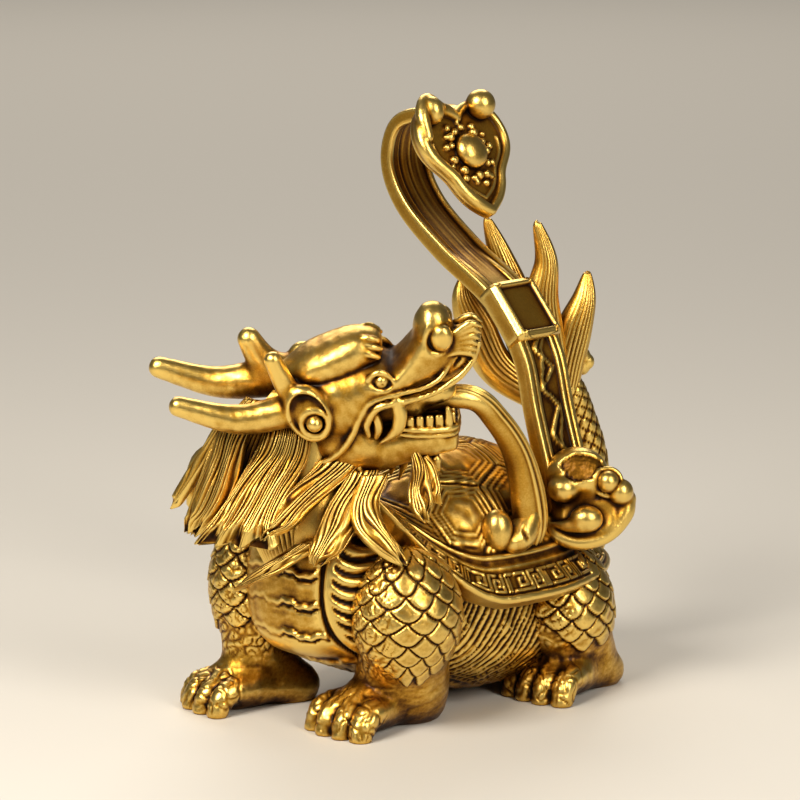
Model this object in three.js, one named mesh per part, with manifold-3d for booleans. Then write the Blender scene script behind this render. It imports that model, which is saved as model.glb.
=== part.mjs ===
// Cast brass figurine of a dragon turtle that carries a ruyi sceptre on its shell, made as one casting.
// Millimetres, +Z up. The turtle walks towards -Y and its left side is +X.
import * as THREE from "three";
import { mergeVertices } from "three/addons/utils/BufferGeometryUtils.js";
import Module from "manifold-3d";

// The drawing is cut flat at this height, which becomes the ground.
const SOLE_LEVEL = 1;
const FINEST = 0.15; // detail smaller than this is left out of the faceted solid

// Shell: an oval dome whose rim lies level behind and sweeps up into a collar at the neck.
const SHELL_CENTRE_Y = 14;
const SHELL_HALF_WIDTH = 27;
const SHELL_HALF_LENGTH = 33;
const RIM_HEIGHT = 22.3;
const RIM_THICKNESS = 1.7;
const BAND_SHARE = 0.17; // the fret band takes this share of the way from the middle to the rim
const BAND_RISE = 5;
const DOME_HEIGHT = 45.5;
const COLLAR_START = 0.27; // where the rim begins to climb, as a share of the half length ahead of the centre
const COLLAR_RISE = 48;
const COLLAR_POWER = 1.9;

// Legs: each foot points from its heel to its toes, and the front right leg is a short step ahead.
const LEGS = [
  { haunch: [17, -12, 23], radii: [8.6, 10, 13], heel: [13, -3], toes: [6.6, -25] },
  { haunch: [-15, -15.5, 23], radii: [8.6, 10, 13], heel: [-12.5, -7], toes: [-18.5, -28.6] },
  { haunch: [19, 27.5, 16.5], radii: [7.5, 10.5, 11.5], heel: [18, 34.5], toes: [17.4, 14.6] },
  { haunch: [-19, 27.5, 16.5], radii: [7.5, 10.5, 11.5], heel: [-18, 34.5], toes: [-17.4, 14.6] },
];
const TOES = 4;
const TOE_PITCH = 3.3;

// Head: it looks back over the turtle's left side, with its crown leaning outwards.
const HEAD_PLACE = [12.3, -8.9, 57.4];
const HEAD_TURN = 45; // its snout points this far from +X towards +Y
const HEAD_LEAN = 20;

// Mane: flat locks that hang around the neck, each [turn about the neck, reach of its tip, height of its tip].
const MANE_AXIS = [1, -20.5];
const MANE_TOP = 56;
const LOCKS = [
  [12, 20.2, 32.5],
  [46, 11, 44],
  [84, 9.5, 46],
  [120, 11, 44.5],
  [155, 17, 39],
  [183, 21, 37],
  [211, 22.5, 37],
  [239, 19.9, 34.3],
  [265, 17.6, 33.5],
  [292, 16.1, 35.2],
  [322, 15.4, 30.8],
  [347, 16.5, 34],
];

// Ruyi sceptre: its curve lies in a plane across the body, and its face looks to the turtle's left.
const RUYI_Y = 27.5;
const STEM_HALF_WIDTH = 5.2;
const STEM_HALF_THICKNESS = 2.1;
const STEM_BORDER = 1.1;
const CROWN_CENTRE = [-5.5, 94.2];
const CROWN_LEAN = 29; // the lower tip of the ruyi's head stands out from the vertical by this much
const CROWN_HALF_WIDTH = 11.8;
const CROWN_LENGTH = 22.5;
const CROWN_THICKNESS = 3;
const BEADS = 10;

const wasm = await Module();
wasm.setup();

const at = (x, y, z) => new THREE.Vector3(x, y, z);
const points = (list) => list.map((p) => at(...p));
const radians = THREE.MathUtils.degToRad;

/** The closed geometry as a solid, with its faces turned outwards. */
function solidOf(geometry) {
  const bare = geometry.clone();
  bare.deleteAttribute("normal");
  bare.deleteAttribute("uv");
  const merged = mergeVertices(bare, 1e-4);
  const make = (triVerts) =>
    new wasm.Manifold(
      new wasm.Mesh({ numProp: 3, vertProperties: merged.attributes.position.array, triVerts }),
    );
  const triVerts = new Uint32Array(merged.index.array);
  const solid = make(triVerts);
  return solid.volume() > 0 ? solid : make(triVerts.slice().reverse());
}

const union = (solids) => wasm.Manifold.union(solids);
const moved = (solid, matrix) => solid.transform(matrix.elements);

/** A closed skin through rings that all have the same number of points, with a fan over each end. */
function loft(rings) {
  const sides = rings[0].length;
  const faces = [];
  for (let i = 0; i + 1 < rings.length; i++) {
    for (let j = 0; j < sides; j++) {
      const a = i * sides + j;
      const b = i * sides + ((j + 1) % sides);
      faces.push(a, b, b + sides, a, b + sides, a + sides);
    }
  }
  const last = (rings.length - 1) * sides;
  for (let j = 1; j + 1 < sides; j++) {
    faces.push(0, j + 1, j, last, last + j, last + j + 1);
  }
  const geometry = new THREE.BufferGeometry().setFromPoints(rings.flat());
  geometry.setIndex(faces);
  return solidOf(geometry);
}

/** A rounded outline of the given half sizes: power 2 is an ellipse, and a higher power is squarer. */
function rounded(halfWidth, halfDepth, sides, power = 2) {
  const bent = (v) => Math.sign(v) * Math.abs(v) ** (2 / power);
  return Array.from({ length: sides }, (_, j) => {
    const a = (2 * Math.PI * (j + 0.5)) / sides;
    return [halfWidth * bent(Math.cos(a)), halfDepth * bent(Math.sin(a))];
  });
}

/** Half sizes read smoothly along a path: the entries are evenly spread from its start to its end. */
function sizeAlong(sizes, t) {
  const x = t * (sizes.length - 1);
  const i = Math.min(Math.floor(x), sizes.length - 2);
  const k = (1 - Math.cos(Math.PI * (x - i))) / 2;
  return sizes[i].map((value, axis) => value + (sizes[i + 1][axis] - value) * k);
}

/** A bar along a smooth path. Sizes are [half width, half thickness], and the width lies along wide. */
function bar(path, sizes, { wide = [0, 0, 1], sides = 6, steps = 6, outline = rounded } = {}) {
  const curve = new THREE.CatmullRomCurve3(points(path), false, "centripetal");
  const rings = Array.from({ length: steps + 1 }, (_, i) => {
    const t = (1 - Math.cos((Math.PI * i) / steps)) / 2;
    const centre = curve.getPoint(t);
    const tangent = curve.getTangent(t);
    const across = at(...wide).addScaledVector(tangent, -tangent.dot(at(...wide))).normalize();
    const through = tangent.clone().cross(across);
    return outline(...sizeAlong(sizes, t), sides).map(([a, b]) =>
      centre.clone().addScaledVector(across, a).addScaledVector(through, b),
    );
  });
  return loft(rings);
}

/** A body along one axis from upright sections, each [place, half width, low z, high z]. */
function sections(list, place, sides, power) {
  return loft(
    list.map(([along, half, low, high]) =>
      rounded(half, (high - low) / 2, sides, power).map(([a, b]) => place(along, a, (low + high) / 2 + b)),
    ),
  );
}

function ellipsoid(centre, radii, around = 10, down = 6) {
  const geometry = new THREE.SphereGeometry(1, around, down);
  geometry.rotateX(Math.PI / 2).scale(...radii).translate(...centre);
  return solidOf(geometry);
}

const ball = (centre, radius, around = 8) => ellipsoid(centre, [radius, radius, radius], around, around / 2 + 1);

/** Height of the rim at a place along the body: level behind, climbing towards the neck. */
function rimHeight(y) {
  const ahead = (SHELL_CENTRE_Y - y) / SHELL_HALF_LENGTH - COLLAR_START;
  return RIM_HEIGHT + COLLAR_RISE * Math.max(0, ahead) ** COLLAR_POWER;
}

/** Top of the shell at a share of the way from its middle to its rim. */
function shellTop(share, y) {
  const rim = rimHeight(y);
  const dome = 1 - BAND_SHARE;
  if (share > dome) return rim + (BAND_RISE * (1 - share)) / BAND_SHARE;
  return rim + BAND_RISE + (DOME_HEIGHT - rim - BAND_RISE) * (1 - (share / dome) ** 2.4);
}

function shell() {
  const around = 28;
  const circle = (share, height) =>
    Array.from({ length: around }, (_, j) => {
      const a = (2 * Math.PI * j) / around;
      const y = SHELL_CENTRE_Y + share * SHELL_HALF_LENGTH * Math.sin(a);
      return at(share * SHELL_HALF_WIDTH * Math.cos(a), y, height(share, y));
    });
  const under = (_, y) => rimHeight(y) - RIM_THICKNESS;
  const raised = (share, y) => shellTop(share, y) + 0.6;
  return loft([
    ...[0.2, 0.45, 0.64, 0.78].map((share) => circle(share, shellTop)),
    circle(0.81, raised),
    circle(0.84, raised),
    circle(0.86, shellTop),
    circle(0.96, shellTop),
    circle(0.985, raised),
    circle(1, under),
    circle(0.5, under),
  ]);
}

/** The trunk: rounded sections along Y from the chest to the rump. */
function trunk() {
  const list = [
    [-25, 6, 12, 30],
    [-23.5, 10, 7, 35],
    [-18, 14, 2.6, 38],
    [-8, 17, 2, 38],
    [8, 19.5, 2, 30],
    [24, 20, 2, 28],
    [36, 16, 2, 27],
    [43, 10, 5, 24],
    [46, 4, 9, 20],
  ];
  return sections(list, (y, x, z) => at(x - 0.5, y, z), 16, 2.6);
}

/** A leg: haunch, shin, and a foot with knuckled, clawed toes. */
function leg({ haunch, radii, heel, toes }) {
  const back = new THREE.Vector2(heel[0] - toes[0], heel[1] - toes[1]);
  const length = back.length();
  back.normalize();
  // A place on the foot: so far behind the toes' tips, so far to the side, and so high.
  const on = (behind, aside, z) => [
    toes[0] + back.x * behind - back.y * aside,
    toes[1] + back.y * behind + back.x * aside,
    SOLE_LEVEL + z,
  ];
  const wide = [back.y, -back.x, 0];
  const parts = [
    ellipsoid(haunch, radii, 11, 7),
    bar(
      [[haunch[0], haunch[1], haunch[2] - 3], on(length - 7, 0, 7), on(length - 8, 0, -1)],
      [[8.4, 7.4], [6, 6], [6.6, 6.4]],
      { wide, sides: 8, steps: 4 },
    ),
    bar([on(length, 0, 2), on(length - 9, 0, 4), on(4, 0, 2.2)], [[4.2, 4], [6, 4.4], [6, 2.6]], { wide, steps: 3 }),
  ];
  for (let toe = 0; toe < TOES; toe++) {
    const side = toe - (TOES - 1) / 2;
    const lag = 0.9 * side * side;
    parts.push(
      bar(
        [
          on(lag + 8.4, side * TOE_PITCH * 0.8, 3),
          on(lag + 4.6, side * TOE_PITCH, 3.5),
          on(lag + 1.8, side * TOE_PITCH * 1.08, 2.2),
          on(lag, side * TOE_PITCH * 1.1, 1),
        ],
        [[1.8, 1.8], [2.2, 2.3], [2.1, 2.1], [1.1, 1]],
        { wide, sides: 5, steps: 3 },
      ),
    );
  }
  return union(parts);
}

/** The mane: a skirt of locks around the neck, each with a raised spine and a pointed tip. */
function mane() {
  const columns = LOCKS.flatMap(([turn, reach, low], i) => {
    const [nextTurn, nextReach, nextLow] = LOCKS[(i + 1) % LOCKS.length];
    const step = (nextTurn - turn + 360) % 360;
    const between = { reach: (reach + nextReach) / 2, low: (low + nextLow) / 2 };
    return [
      { turn, reach, low, spine: 0.9 },
      { turn: turn + 0.27 * step, reach: reach - 0.4, low: low + 2.6, spine: 0.2 },
      { turn: turn + 0.5 * step, reach: between.reach - 1.6, low: between.low + 5.5, spine: -0.9 },
      { turn: turn + 0.73 * step, reach: nextReach - 0.4, low: nextLow + 2.6, spine: 0.2 },
    ];
  });
  const circle = (t, inset, lift) =>
    columns.map(({ turn, reach, low, spine }) => {
      const swell = Math.sin((Math.PI / 2) * Math.min(1, t * 1.15)) ** 0.85;
      const radius = 4 + (reach - 4) * swell + spine * Math.min(1, 2 * t) - inset;
      const z = MANE_TOP + (low + lift - MANE_TOP) * t ** 1.25;
      return at(
        MANE_AXIS[0] + radius * Math.cos(radians(turn)),
        MANE_AXIS[1] + radius * Math.sin(radians(turn)),
        z,
      );
    });
  const under = [
    [-14, 31, 27.5],
    [300, 13, 28.5],
    [268, 14.5, 26],
    [236, 15, 27],
    [204, 14.5, 28.5],
  ].map(([turn, reach, low]) => {
    const out = [Math.cos(radians(turn)), Math.sin(radians(turn))];
    const place = (radius, z) => [MANE_AXIS[0] + radius * out[0], MANE_AXIS[1] + radius * out[1], z];
    const far = Math.min(reach, 15);
    return bar([place(7, 44), place(far - 2, 37), place(far, low)], [[3, 3], [4, 2.6], [0.6, 0.6]], {
      wide: [-out[1], out[0], 0],
      sides: 5,
      steps: 3,
    });
  });
  const skirt = loft([
    circle(0.08, 0, 0),
    circle(0.36, 0, 0),
    circle(0.7, 0, 0),
    circle(1, 0, 0),
    circle(0.97, 1.6, 1),
    circle(0.6, 4.5, 0),
  ]);
  return union([skirt, ...under]);
}

const neck = () =>
  bar(
    [[0, -12, 24], [0, -20.5, 38], [2, -19.5, 48], [7, -14, 55]],
    [[12, 13], [11, 11], [8.5, 9], [6, 7]],
    { wide: [1, 0, 0], sides: 8, steps: 4 },
  );

/** Antler: a beam that runs back from the brow and one tine that stands up near its root. */
function antler(side, back, thick) {
  const y = side * 5;
  const r = (list) => list.map((size) => [size * thick, size * thick]);
  return union([
    bar(
      [[-13, y, 3.4], [-19 - back, y * 1.1, 1], [-28 - back, y * 1.25, 0], [-38 - back, y * 1.3, 2.8]],
      r([2, 2, 1.9, 1.7, 0.9]),
      { steps: 6 },
    ),
    bar(
      [[-17 - back, y * 1.1, 1.6], [-20 - back, y * 1.15, 6.5], [-22 - back, y * 1.15, 11.6]],
      r([1.9, 1.6, 0.9]),
      { wide: [0, 1, 0], steps: 4 },
    ),
  ]);
}

/** What comes in pairs on the head, made on the side that has y below zero. */
function headSide() {
  const lip = [
    [13, -1.4, 12],
    [12, -2.6, 8.4],
    [6.9, -5, 5.1],
    [-1, -6.8, 3.6],
    [-6, -7.4, 2.5],
    [-8, -7.6, -2],
    [-10, -7.4, -6.5],
    [-16, -6.4, -9.8],
  ];
  const ear = new THREE.LatheGeometry(
    points([[0, -3, 0], [3.2, -2, 0], [4.8, 1.6, 0], [3.8, 1.6, 0], [2.4, -0.4, 0], [0, 1.8, 0]]),
    8,
  );
  ear.rotateX(Math.PI).scale(0.85, 1, 1.05).translate(-15, -7.6, 1.6);
  return union([
    bar(lip, [[0.8, 0.8], [0.9, 0.8], [0.9, 0.8], [0.9, 0.8], [0.5, 0.5]], { steps: 10, sides: 4 }),
    bar([[-17, -5, 3.4], [-10.5, -5.4, 7.8], [-4.6, -4.6, 10.2]], [[1.6, 2], [2.4, 2.2], [1.4, 1.6]], { steps: 5 }),
    ellipsoid([-2.9, -5.4, 6.4], [1.5, 1.5, 1.3], 6, 4),
    ball([6.1, -4.3, 15.6], 2.2, 6),
    bar([[-1, -6, 3.2], [-0.7, -6.4, 0.4], [-3.4, -6.4, -4.6]], [[1.8, 1.2], [1.6, 1.1], [0.4, 0.4]], {
      wide: [1, 0, 0],
      sides: 5,
      steps: 4,
    }),
    bar([[8.5, -2.4, 8.5], [12, -2.2, 11], [13.2, -1.8, 15]], [[2.4, 1.6], [2, 1.4], [0.7, 0.7]], {
      wide: [1, 0, 0],
      sides: 5,
      steps: 4,
    }),
    solidOf(ear),
  ]);
}

/** The head in its own frame: +x to the snout, +z to the crown, both sides alike about y = 0. */
function head() {
  const skull = [
    [-19, 4, -3, 4],
    [-15, 7, -6, 7],
    [-9, 7.8, -6, 10.2],
    [-4, 7, 0.4, 9.6],
    [-1, 6.2, 2.8, 8.4],
    [2, 5.4, 3.4, 12],
    [5, 4.8, 4.2, 17.5],
    [8, 4, 5.4, 17],
    [10.5, 3, 7, 12.6],
    [12.2, 2, 8, 11.4],
  ];
  const jaw = [
    [-14, 5.5, -10.5, 0],
    [-9, 6.8, -12.4, 0],
    [-4.2, 6.2, -12.6, -3.2],
    [1, 5.4, -10.8, -2.6],
    [7, 4.4, -8.9, -2.8],
    [10, 3.4, -8, -3.2],
  ];
  const place = (x, y, z) => at(x, y, z);
  const side = headSide();
  const teeth = bar([[8.6, -3, -2.2], [9, 0, -2], [8.6, 3, -2.2]], [[0.9, 0.8], [0.9, 0.8]], { sides: 4, steps: 2 });
  const turned = new THREE.Matrix4()
    .makeTranslation(...HEAD_PLACE)
    .multiply(new THREE.Matrix4().makeRotationZ(radians(HEAD_TURN)))
    .multiply(new THREE.Matrix4().makeRotationX(radians(HEAD_LEAN)));
  return moved(
    union([
      sections(skull, place, 10, 2.4),
      sections(jaw, place, 8, 2.8),
      ellipsoid([5, 0, 14.6], [3.9, 4.6, 5.2], 8, 5),
      bar([[-9, 0, 0], [5, 0, 0.6]], [[3, 4.4], [3.2, 3]], { steps: 1 }),
      teeth,
      side,
      side.mirror([0, 1, 0]),
      antler(-1, 0, 0.95),
      antler(1, 4, 1.15),
    ]),
    turned,
  );
}

/** The band that the dragon breathes out: it arches to the shell and ends in a curl with a ball. */
function breath() {
  return union([
    bar(
      [
        [14, -7, 57],
        [20, 0.2, 57.6],
        [21.2, 6, 53.2],
        [21.5, 11.5, 46.5],
        [21.7, 16, 37.6],
        [21.3, 17.2, 31.5],
        [19.5, 15.5, 28],
      ],
      [[1.8, 1.8], [2, 1.8], [2.1, 2], [2.4, 2.2], [3, 2.4], [3, 2.2], [1.4, 1.4]],
      { wide: [0, 1, 0.6], steps: 12 },
    ),
    bar([[20.8, 16.5, 33], [20.6, 12, 30.4], [19.4, 8.6, 31]], [[2.4, 2.2], [2.2, 2], [1.8, 1.8]], { steps: 4 }),
    ellipsoid([19.2, 7.9, 33], [2.9, 2.9, 3.9], 10, 6),
  ]);
}

/** The stem's outline: flat, with a border along each edge of its face. */
function channel(halfWidth, halfDepth) {
  const inner = halfWidth - STEM_BORDER;
  const floor = -halfDepth * 0.55;
  return [
    [-halfWidth, halfDepth * 0.8],
    [-halfWidth, -halfDepth],
    [-inner, -halfDepth],
    [-inner + 0.5, floor],
    [inner - 0.5, floor],
    [inner, -halfDepth],
    [halfWidth, -halfDepth],
    [halfWidth, halfDepth * 0.8],
  ];
}

/** The sceptre's stem: a flat bar bent in an S, with a raised plaque across its middle. */
function ruyiStem() {
  const level = (list) => list.map(([x, z]) => [x, RUYI_Y, z]);
  const wide = [0, 1, 0];
  return union([
    bar(
      level([
        [17.5, 30],
        [16.8, 38],
        [13, 51],
        [10, 61],
        [3, 69.5],
        [-9.5, 77],
        [-19, 84.5],
        [-22.8, 92],
        [-20.8, 99],
        [-14, 101],
        [-9, 98],
      ]),
      [
        [STEM_HALF_WIDTH, 2.6],
        [STEM_HALF_WIDTH, 2.4],
        [STEM_HALF_WIDTH, STEM_HALF_THICKNESS],
        [STEM_HALF_WIDTH, STEM_HALF_THICKNESS],
        [STEM_HALF_WIDTH, STEM_HALF_THICKNESS],
        [3.6, 1.6],
      ],
      { wide, steps: 17, outline: channel },
    ),
    bar(level([[9.8, 63], [2.4, 71.4]]), [[5.6, 3.5], [5.6, 3.5]], {
      wide,
      steps: 1,
      outline: (w, d) => [[-w, -d + 0.8], [-w + 0.9, -d], [w - 0.9, -d], [w, -d + 0.8], [w, d * 0.7], [-w, d * 0.7]],
    }),
  ]);
}

/** The cloud outline of the ruyi's head: two curls above, flanks drawn in, and a point below. */
function cloudShape(halfWidth, length) {
  const top = length / 2;
  // Control points of one side, from the notch above to the point below; each third one is on the outline.
  const flank = (w) => [
    [0, top * 0.76],
    [w * 0.25, top * 1.06],
    [w * 0.9, top * 1.08],
    [w, top * 0.42],
    [w * 1.04, -top * 0.02],
    [w * 0.68, -top * 0.12],
    [w * 0.56, -top * 0.42],
    [w * 0.44, -top * 0.74],
    [w * 0.2, -top * 0.9],
    [0, -top],
  ];
  const outline = [...flank(halfWidth), ...flank(-halfWidth).reverse().slice(1)];
  const shape = new THREE.Shape();
  shape.moveTo(...outline[0]);
  for (let i = 1; i < outline.length; i += 3) {
    shape.bezierCurveTo(...outline[i], ...outline[i + 1], ...outline[i + 2]);
  }
  return shape;
}

/** The ruyi's head in its own frame: the outline in x and y, its face towards +z. */
function ruyiCrown() {
  const outline = cloudShape(CROWN_HALF_WIDTH, CROWN_LENGTH);
  const inner = cloudShape(CROWN_HALF_WIDTH - 1.9, CROWN_LENGTH - 4.4);
  const extrude = (shape, depth, z) => {
    const options = { depth: depth - 1, bevelThickness: 0.5, bevelSize: 0.5, bevelOffset: -0.5, bevelSegments: 1 };
    return solidOf(new THREE.ExtrudeGeometry(shape, { ...options, curveSegments: 3 }).translate(0, 0, z + 0.5));
  };
  const plate = extrude(outline, CROWN_THICKNESS, -CROWN_THICKNESS);
  const recess = extrude(inner, 4, -0.9);
  const knobs = [-1, 1].map((side) =>
    ball([side * CROWN_HALF_WIDTH * 0.6, CROWN_LENGTH * 0.4, 0.5], 2.9),
  );
  const flower = [ellipsoid([0, 0.5, -0.8], [3, 3, 2.4], 10, 6)];
  for (let i = 0; i < BEADS; i++) {
    const a = (2 * Math.PI * i) / BEADS;
    flower.push(ellipsoid([4.4 * Math.cos(a), 0.5 + 4.8 * Math.sin(a), -0.8], [1, 1, 1], 5, 3));
  }
  const lean = radians(CROWN_LEAN);
  const placed = new THREE.Matrix4()
    .makeBasis(at(0, 1, 0), at(-Math.sin(lean), 0, Math.cos(lean)), at(Math.cos(lean), 0, Math.sin(lean)))
    .setPosition(CROWN_CENTRE[0], RUYI_Y, CROWN_CENTRE[1]);
  return moved(union([plate.subtract(recess), ...knobs, ...flower]), placed);
}

/** The sceptre's foot: a cupped cloud that rests on the shell, with a ball in each of its curls. */
function ruyiFoot() {
  return union([
    ellipsoid([18.5, 27.5, 35.5], [5, 7.5, 9]),
    bar(
      [[19, 20.5, 40], [17.5, 24, 44], [18.5, 30, 45], [22.5, 34.5, 41]],
      [[1.6, 1.6], [1.9, 1.9], [1.9, 1.9], [2, 2]],
      { steps: 5, wide: [1, 0, 0] },
    ),
    bar(
      [[19.5, 19, 31], [22.4, 24, 28.5], [24, 30, 29], [25.6, 34.4, 33], [25.4, 34.6, 37]],
      [[1.4, 1.4], [2.2, 2], [2.4, 2.4], [2.8, 2.8], [2.4, 2.4]],
      { steps: 7, wide: [1, 0, 0] },
    ),
    ball([20.4, 22.8, 39], 2.8, 6),
    ball([23.2, 31.4, 39], 2.6, 6),
    ball([23.4, 25.4, 33.2], 3, 6),
  ]);
}

/** The tail: it climbs behind the shell and opens into a fan of flames turned to the front left. */
function tail() {
  const base = [1, 43.5, 47];
  const fan = [
    { bend: [-8, 34.5, 53], middle: [-12, 31, 61], tip: [-13, 30.5, 69], width: 4.4 },
    { bend: [-3.6, 39.4, 57], middle: [-4.6, 38.4, 68], tip: [-9.4, 35.6, 80.5], width: 4.2 },
    { bend: [0.4, 43, 58], middle: [1, 44, 69], tip: [-2, 43.1, 80.8], width: 4.4 },
    { bend: [2.8, 46, 54], middle: [4.6, 48, 61.5], tip: [3.4, 48.8, 71.4], width: 3.8 },
  ];
  return union([
    bar([[2, 40, 14], [3, 48.5, 24], [3.2, 50.6, 37], [1.6, 46.5, 49]], [[5, 5], [4.2, 4.2], [3.4, 3.4], [4, 3]], {
      sides: 7,
      steps: 6,
      wide: [1, 1, 0],
    }),
    ...fan.map(({ bend, middle, tip, width }) =>
      bar([base, bend, middle, tip], [[2.4, 2], [width * 0.9, 2.6], [width, 2.2], [0.7, 0.7]], {
        wide: [1, 1, 0],
        steps: 5,
      }),
    ),
    ball([3.7, 48.4, 55.8], 1.7, 6),
  ]);
}

/** A box that reaches from the ground down, to cut the soles flat. */
function ground() {
  const depth = 20;
  return solidOf(new THREE.BoxGeometry(200, 200, depth).translate(0, 0, SOLE_LEVEL - depth / 2));
}

/** The whole casting as one solid, moved so that the origin lies on the ground under its middle. */
function casting() {
  const [whole] = union([
    shell(),
    trunk(),
    ...LEGS.map(leg),
    neck(),
    mane(),
    head(),
    breath(),
    ruyiStem(),
    ruyiCrown(),
    ruyiFoot(),
    tail(),
  ])
    .subtract(ground())
    .simplify(FINEST)
    .decompose()
    .sort((a, b) => b.volume() - a.volume());
  const { min, max } = whole.boundingBox();
  return whole.translate([-(min[0] + max[0]) / 2, -(min[1] + max[1]) / 2, -min[2]]);
}

/** A solid as a geometry that three.js can draw. */
function geometryOf(solid) {
  const mesh = solid.getMesh();
  const geometry = new THREE.BufferGeometry();
  geometry.setAttribute("position", new THREE.BufferAttribute(mesh.vertProperties, 3));
  geometry.setIndex(new THREE.BufferAttribute(mesh.triVerts, 1));
  geometry.computeVertexNormals();
  return geometry;
}

const brass = new THREE.MeshStandardMaterial({ color: 0xc9962f, roughness: 0.38, metalness: 1 });

const figurine = new THREE.Group();
const dragonTurtle = new THREE.Mesh(geometryOf(casting()), brass);
dragonTurtle.name = "dragon_turtle";
figurine.add(dragonTurtle);

export default figurine;
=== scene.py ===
"""Cast brass dragon turtle that carries a ruyi sceptre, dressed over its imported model.

Every place and size is in millimetres in the drawing that the part's source uses too: +Z up, the turtle
faces -Y, its left side is +X. ORIGIN is where the row's origin lies in that drawing.
"""
import math
import bpy
import numpy as np
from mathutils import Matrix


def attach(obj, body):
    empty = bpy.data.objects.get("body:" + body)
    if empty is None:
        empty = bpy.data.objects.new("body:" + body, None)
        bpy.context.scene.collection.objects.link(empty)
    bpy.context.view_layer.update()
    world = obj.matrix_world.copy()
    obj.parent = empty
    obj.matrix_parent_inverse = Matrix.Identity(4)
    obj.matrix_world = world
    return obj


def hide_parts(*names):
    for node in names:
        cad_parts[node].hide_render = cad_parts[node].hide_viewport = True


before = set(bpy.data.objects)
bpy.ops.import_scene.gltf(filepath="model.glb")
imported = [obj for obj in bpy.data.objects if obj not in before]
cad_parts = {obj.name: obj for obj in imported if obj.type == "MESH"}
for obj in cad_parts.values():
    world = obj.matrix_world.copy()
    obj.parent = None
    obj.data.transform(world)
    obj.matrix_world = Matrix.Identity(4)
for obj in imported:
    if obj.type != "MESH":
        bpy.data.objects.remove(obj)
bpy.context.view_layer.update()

import openvdb
from mathutils import Vector

MM = 0.001
ORIGIN = np.array([0.51, 6.28, 1.0])
SOLE_LEVEL = 1.0

# Shell
SHELL_CENTRE_Y = 14
SHELL_HALF_WIDTH = 27
SHELL_HALF_LENGTH = 33
RIM_HEIGHT = 22.3
RIM_THICKNESS = 1.7
BAND_SHARE = 0.17
BAND_RISE = 5
DOME_HEIGHT = 45.5
COLLAR_START = 0.27
COLLAR_RISE = 48
COLLAR_POWER = 1.9
PLATE_PITCH = 12.5
FRET_STROKE = 0.55

# Legs: a haunch, a shin, and a paw from heel to toes. A block's step is smaller where the leg shows best
LEGS = {
    "front_left": {"haunch": (17, -12, 21.8), "radii": (8.6, 10, 11.4), "shin": (13.7, -9.6, 14), "thick": 8.0,
                   "heel": (10.9, -3.9), "toes": (10.8, -25.2), "step": 0.27},
    "front_right": {"haunch": (-15, -15.5, 23), "radii": (8.6, 10, 13), "shin": (-14.8, -17.6, 13), "thick": 5.6,
                    "heel": (-12.6, -11.5), "toes": (-18.2, -30.4), "step": 0.285},
    "hind_left": {"haunch": (18.2, 26.5, 16.5), "radii": (7, 9.6, 11), "shin": (18, 29, 12), "thick": 6.6,
                  "heel": (18.4, 34.2), "toes": (20, 14.8), "step": 0.3},
    "hind_right": {"haunch": (-18.2, 26.5, 16.5), "radii": (7, 9.6, 11), "shin": (-18, 29, 12), "thick": 6.6,
                   "heel": (-18.4, 34.2), "toes": (-20, 14.8), "step": 0.36},
}
TOES = 4
TOE_PITCH = 3.5
SCALE_WIDTH = 5.9
SCALE_PITCH = 2.1

# Head
HEAD_PLACE = np.array([12.3, -8.9, 57.4])
HEAD_TURN = 45
HEAD_LEAN = 20

# Mane
MANE_AXIS = (1, -20.5)
STRAND_PITCH = 0.8

# Sceptre
RUYI_Y = 27.5
STEM_HALF_WIDTH = 5.2
CROWN_CENTRE = (-5.5, 94.2)
CROWN_LEAN = 29
CROWN_HALF_WIDTH = 11
CROWN_LENGTH = 22.5
CROWN_THICKNESS = 3


# Forms

def spline(points, count):
    """Catmull-Rom curve through the points, read at even steps: each stretch is a cubic whose slope at a
    point is half the step between that point's neighbours."""
    p = np.asarray(points, float)
    p = np.concatenate([[2 * p[0] - p[1]], p, [2 * p[-1] - p[-2]]])
    t = np.linspace(0, len(p) - 3, count)
    i = np.minimum(t.astype(int), len(p) - 4)
    f = (t - i).reshape((-1,) + (1,) * (p.ndim - 1))
    a, b, c, d = p[i], p[i + 1], p[i + 2], p[i + 3]
    return 0.5 * (2 * b + (c - a) * f + (2 * a - 5 * b + 4 * c - d) * f**2 + (3 * b - a - 3 * c + d) * f**3)


def unit(v):
    """Each vector divided by its length."""
    return v / np.maximum(np.linalg.norm(v, axis=-1, keepdims=True), 1e-9)


def smooth_step(low, high, x):
    """0 below low, 1 above high, and 3t^2 - 2t^3 between them."""
    t = np.clip((x - low) / (high - low), 0, 1)
    return t * t * (3 - 2 * t)


def grid_faces(rows, cols):
    """Quads of a grid that is closed around its columns, and a fan of triangles over each end."""
    i, j = np.meshgrid(np.arange(rows - 1), np.arange(cols), indexing="ij")
    k = (j + 1) % cols
    quads = np.stack([i * cols + j, i * cols + k, (i + 1) * cols + k, (i + 1) * cols + j], -1).reshape(-1, 4)
    j = np.arange(cols)
    k = (j + 1) % cols
    last = (rows - 1) * cols
    first_fan = np.stack([np.full(cols, rows * cols), k, j], -1)
    last_fan = np.stack([np.full(cols, rows * cols + 1), last + j, last + k], -1)
    return quads, np.concatenate([first_fan, last_fan])


def grid_skin(places):
    """Skin of a grid of places (rows, columns, 3) that is closed around, with a pole in the middle of each end."""
    rows, cols = places.shape[:2]
    points = np.concatenate([places.reshape(-1, 3), [places[0].mean(0), places[-1].mean(0)]])
    return outward((points,) + grid_faces(rows, cols))


def volume(skin):
    """Signed volume: a sixth of the sum of a . (b x c) over all triangles."""
    points, quads, tris = skin
    corners = np.concatenate([tris, quads[:, [0, 1, 2]], quads[:, [0, 2, 3]]])
    a, b, c = points[corners[:, 0]], points[corners[:, 1]], points[corners[:, 2]]
    return float((a * np.cross(b, c)).sum() / 6)


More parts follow.
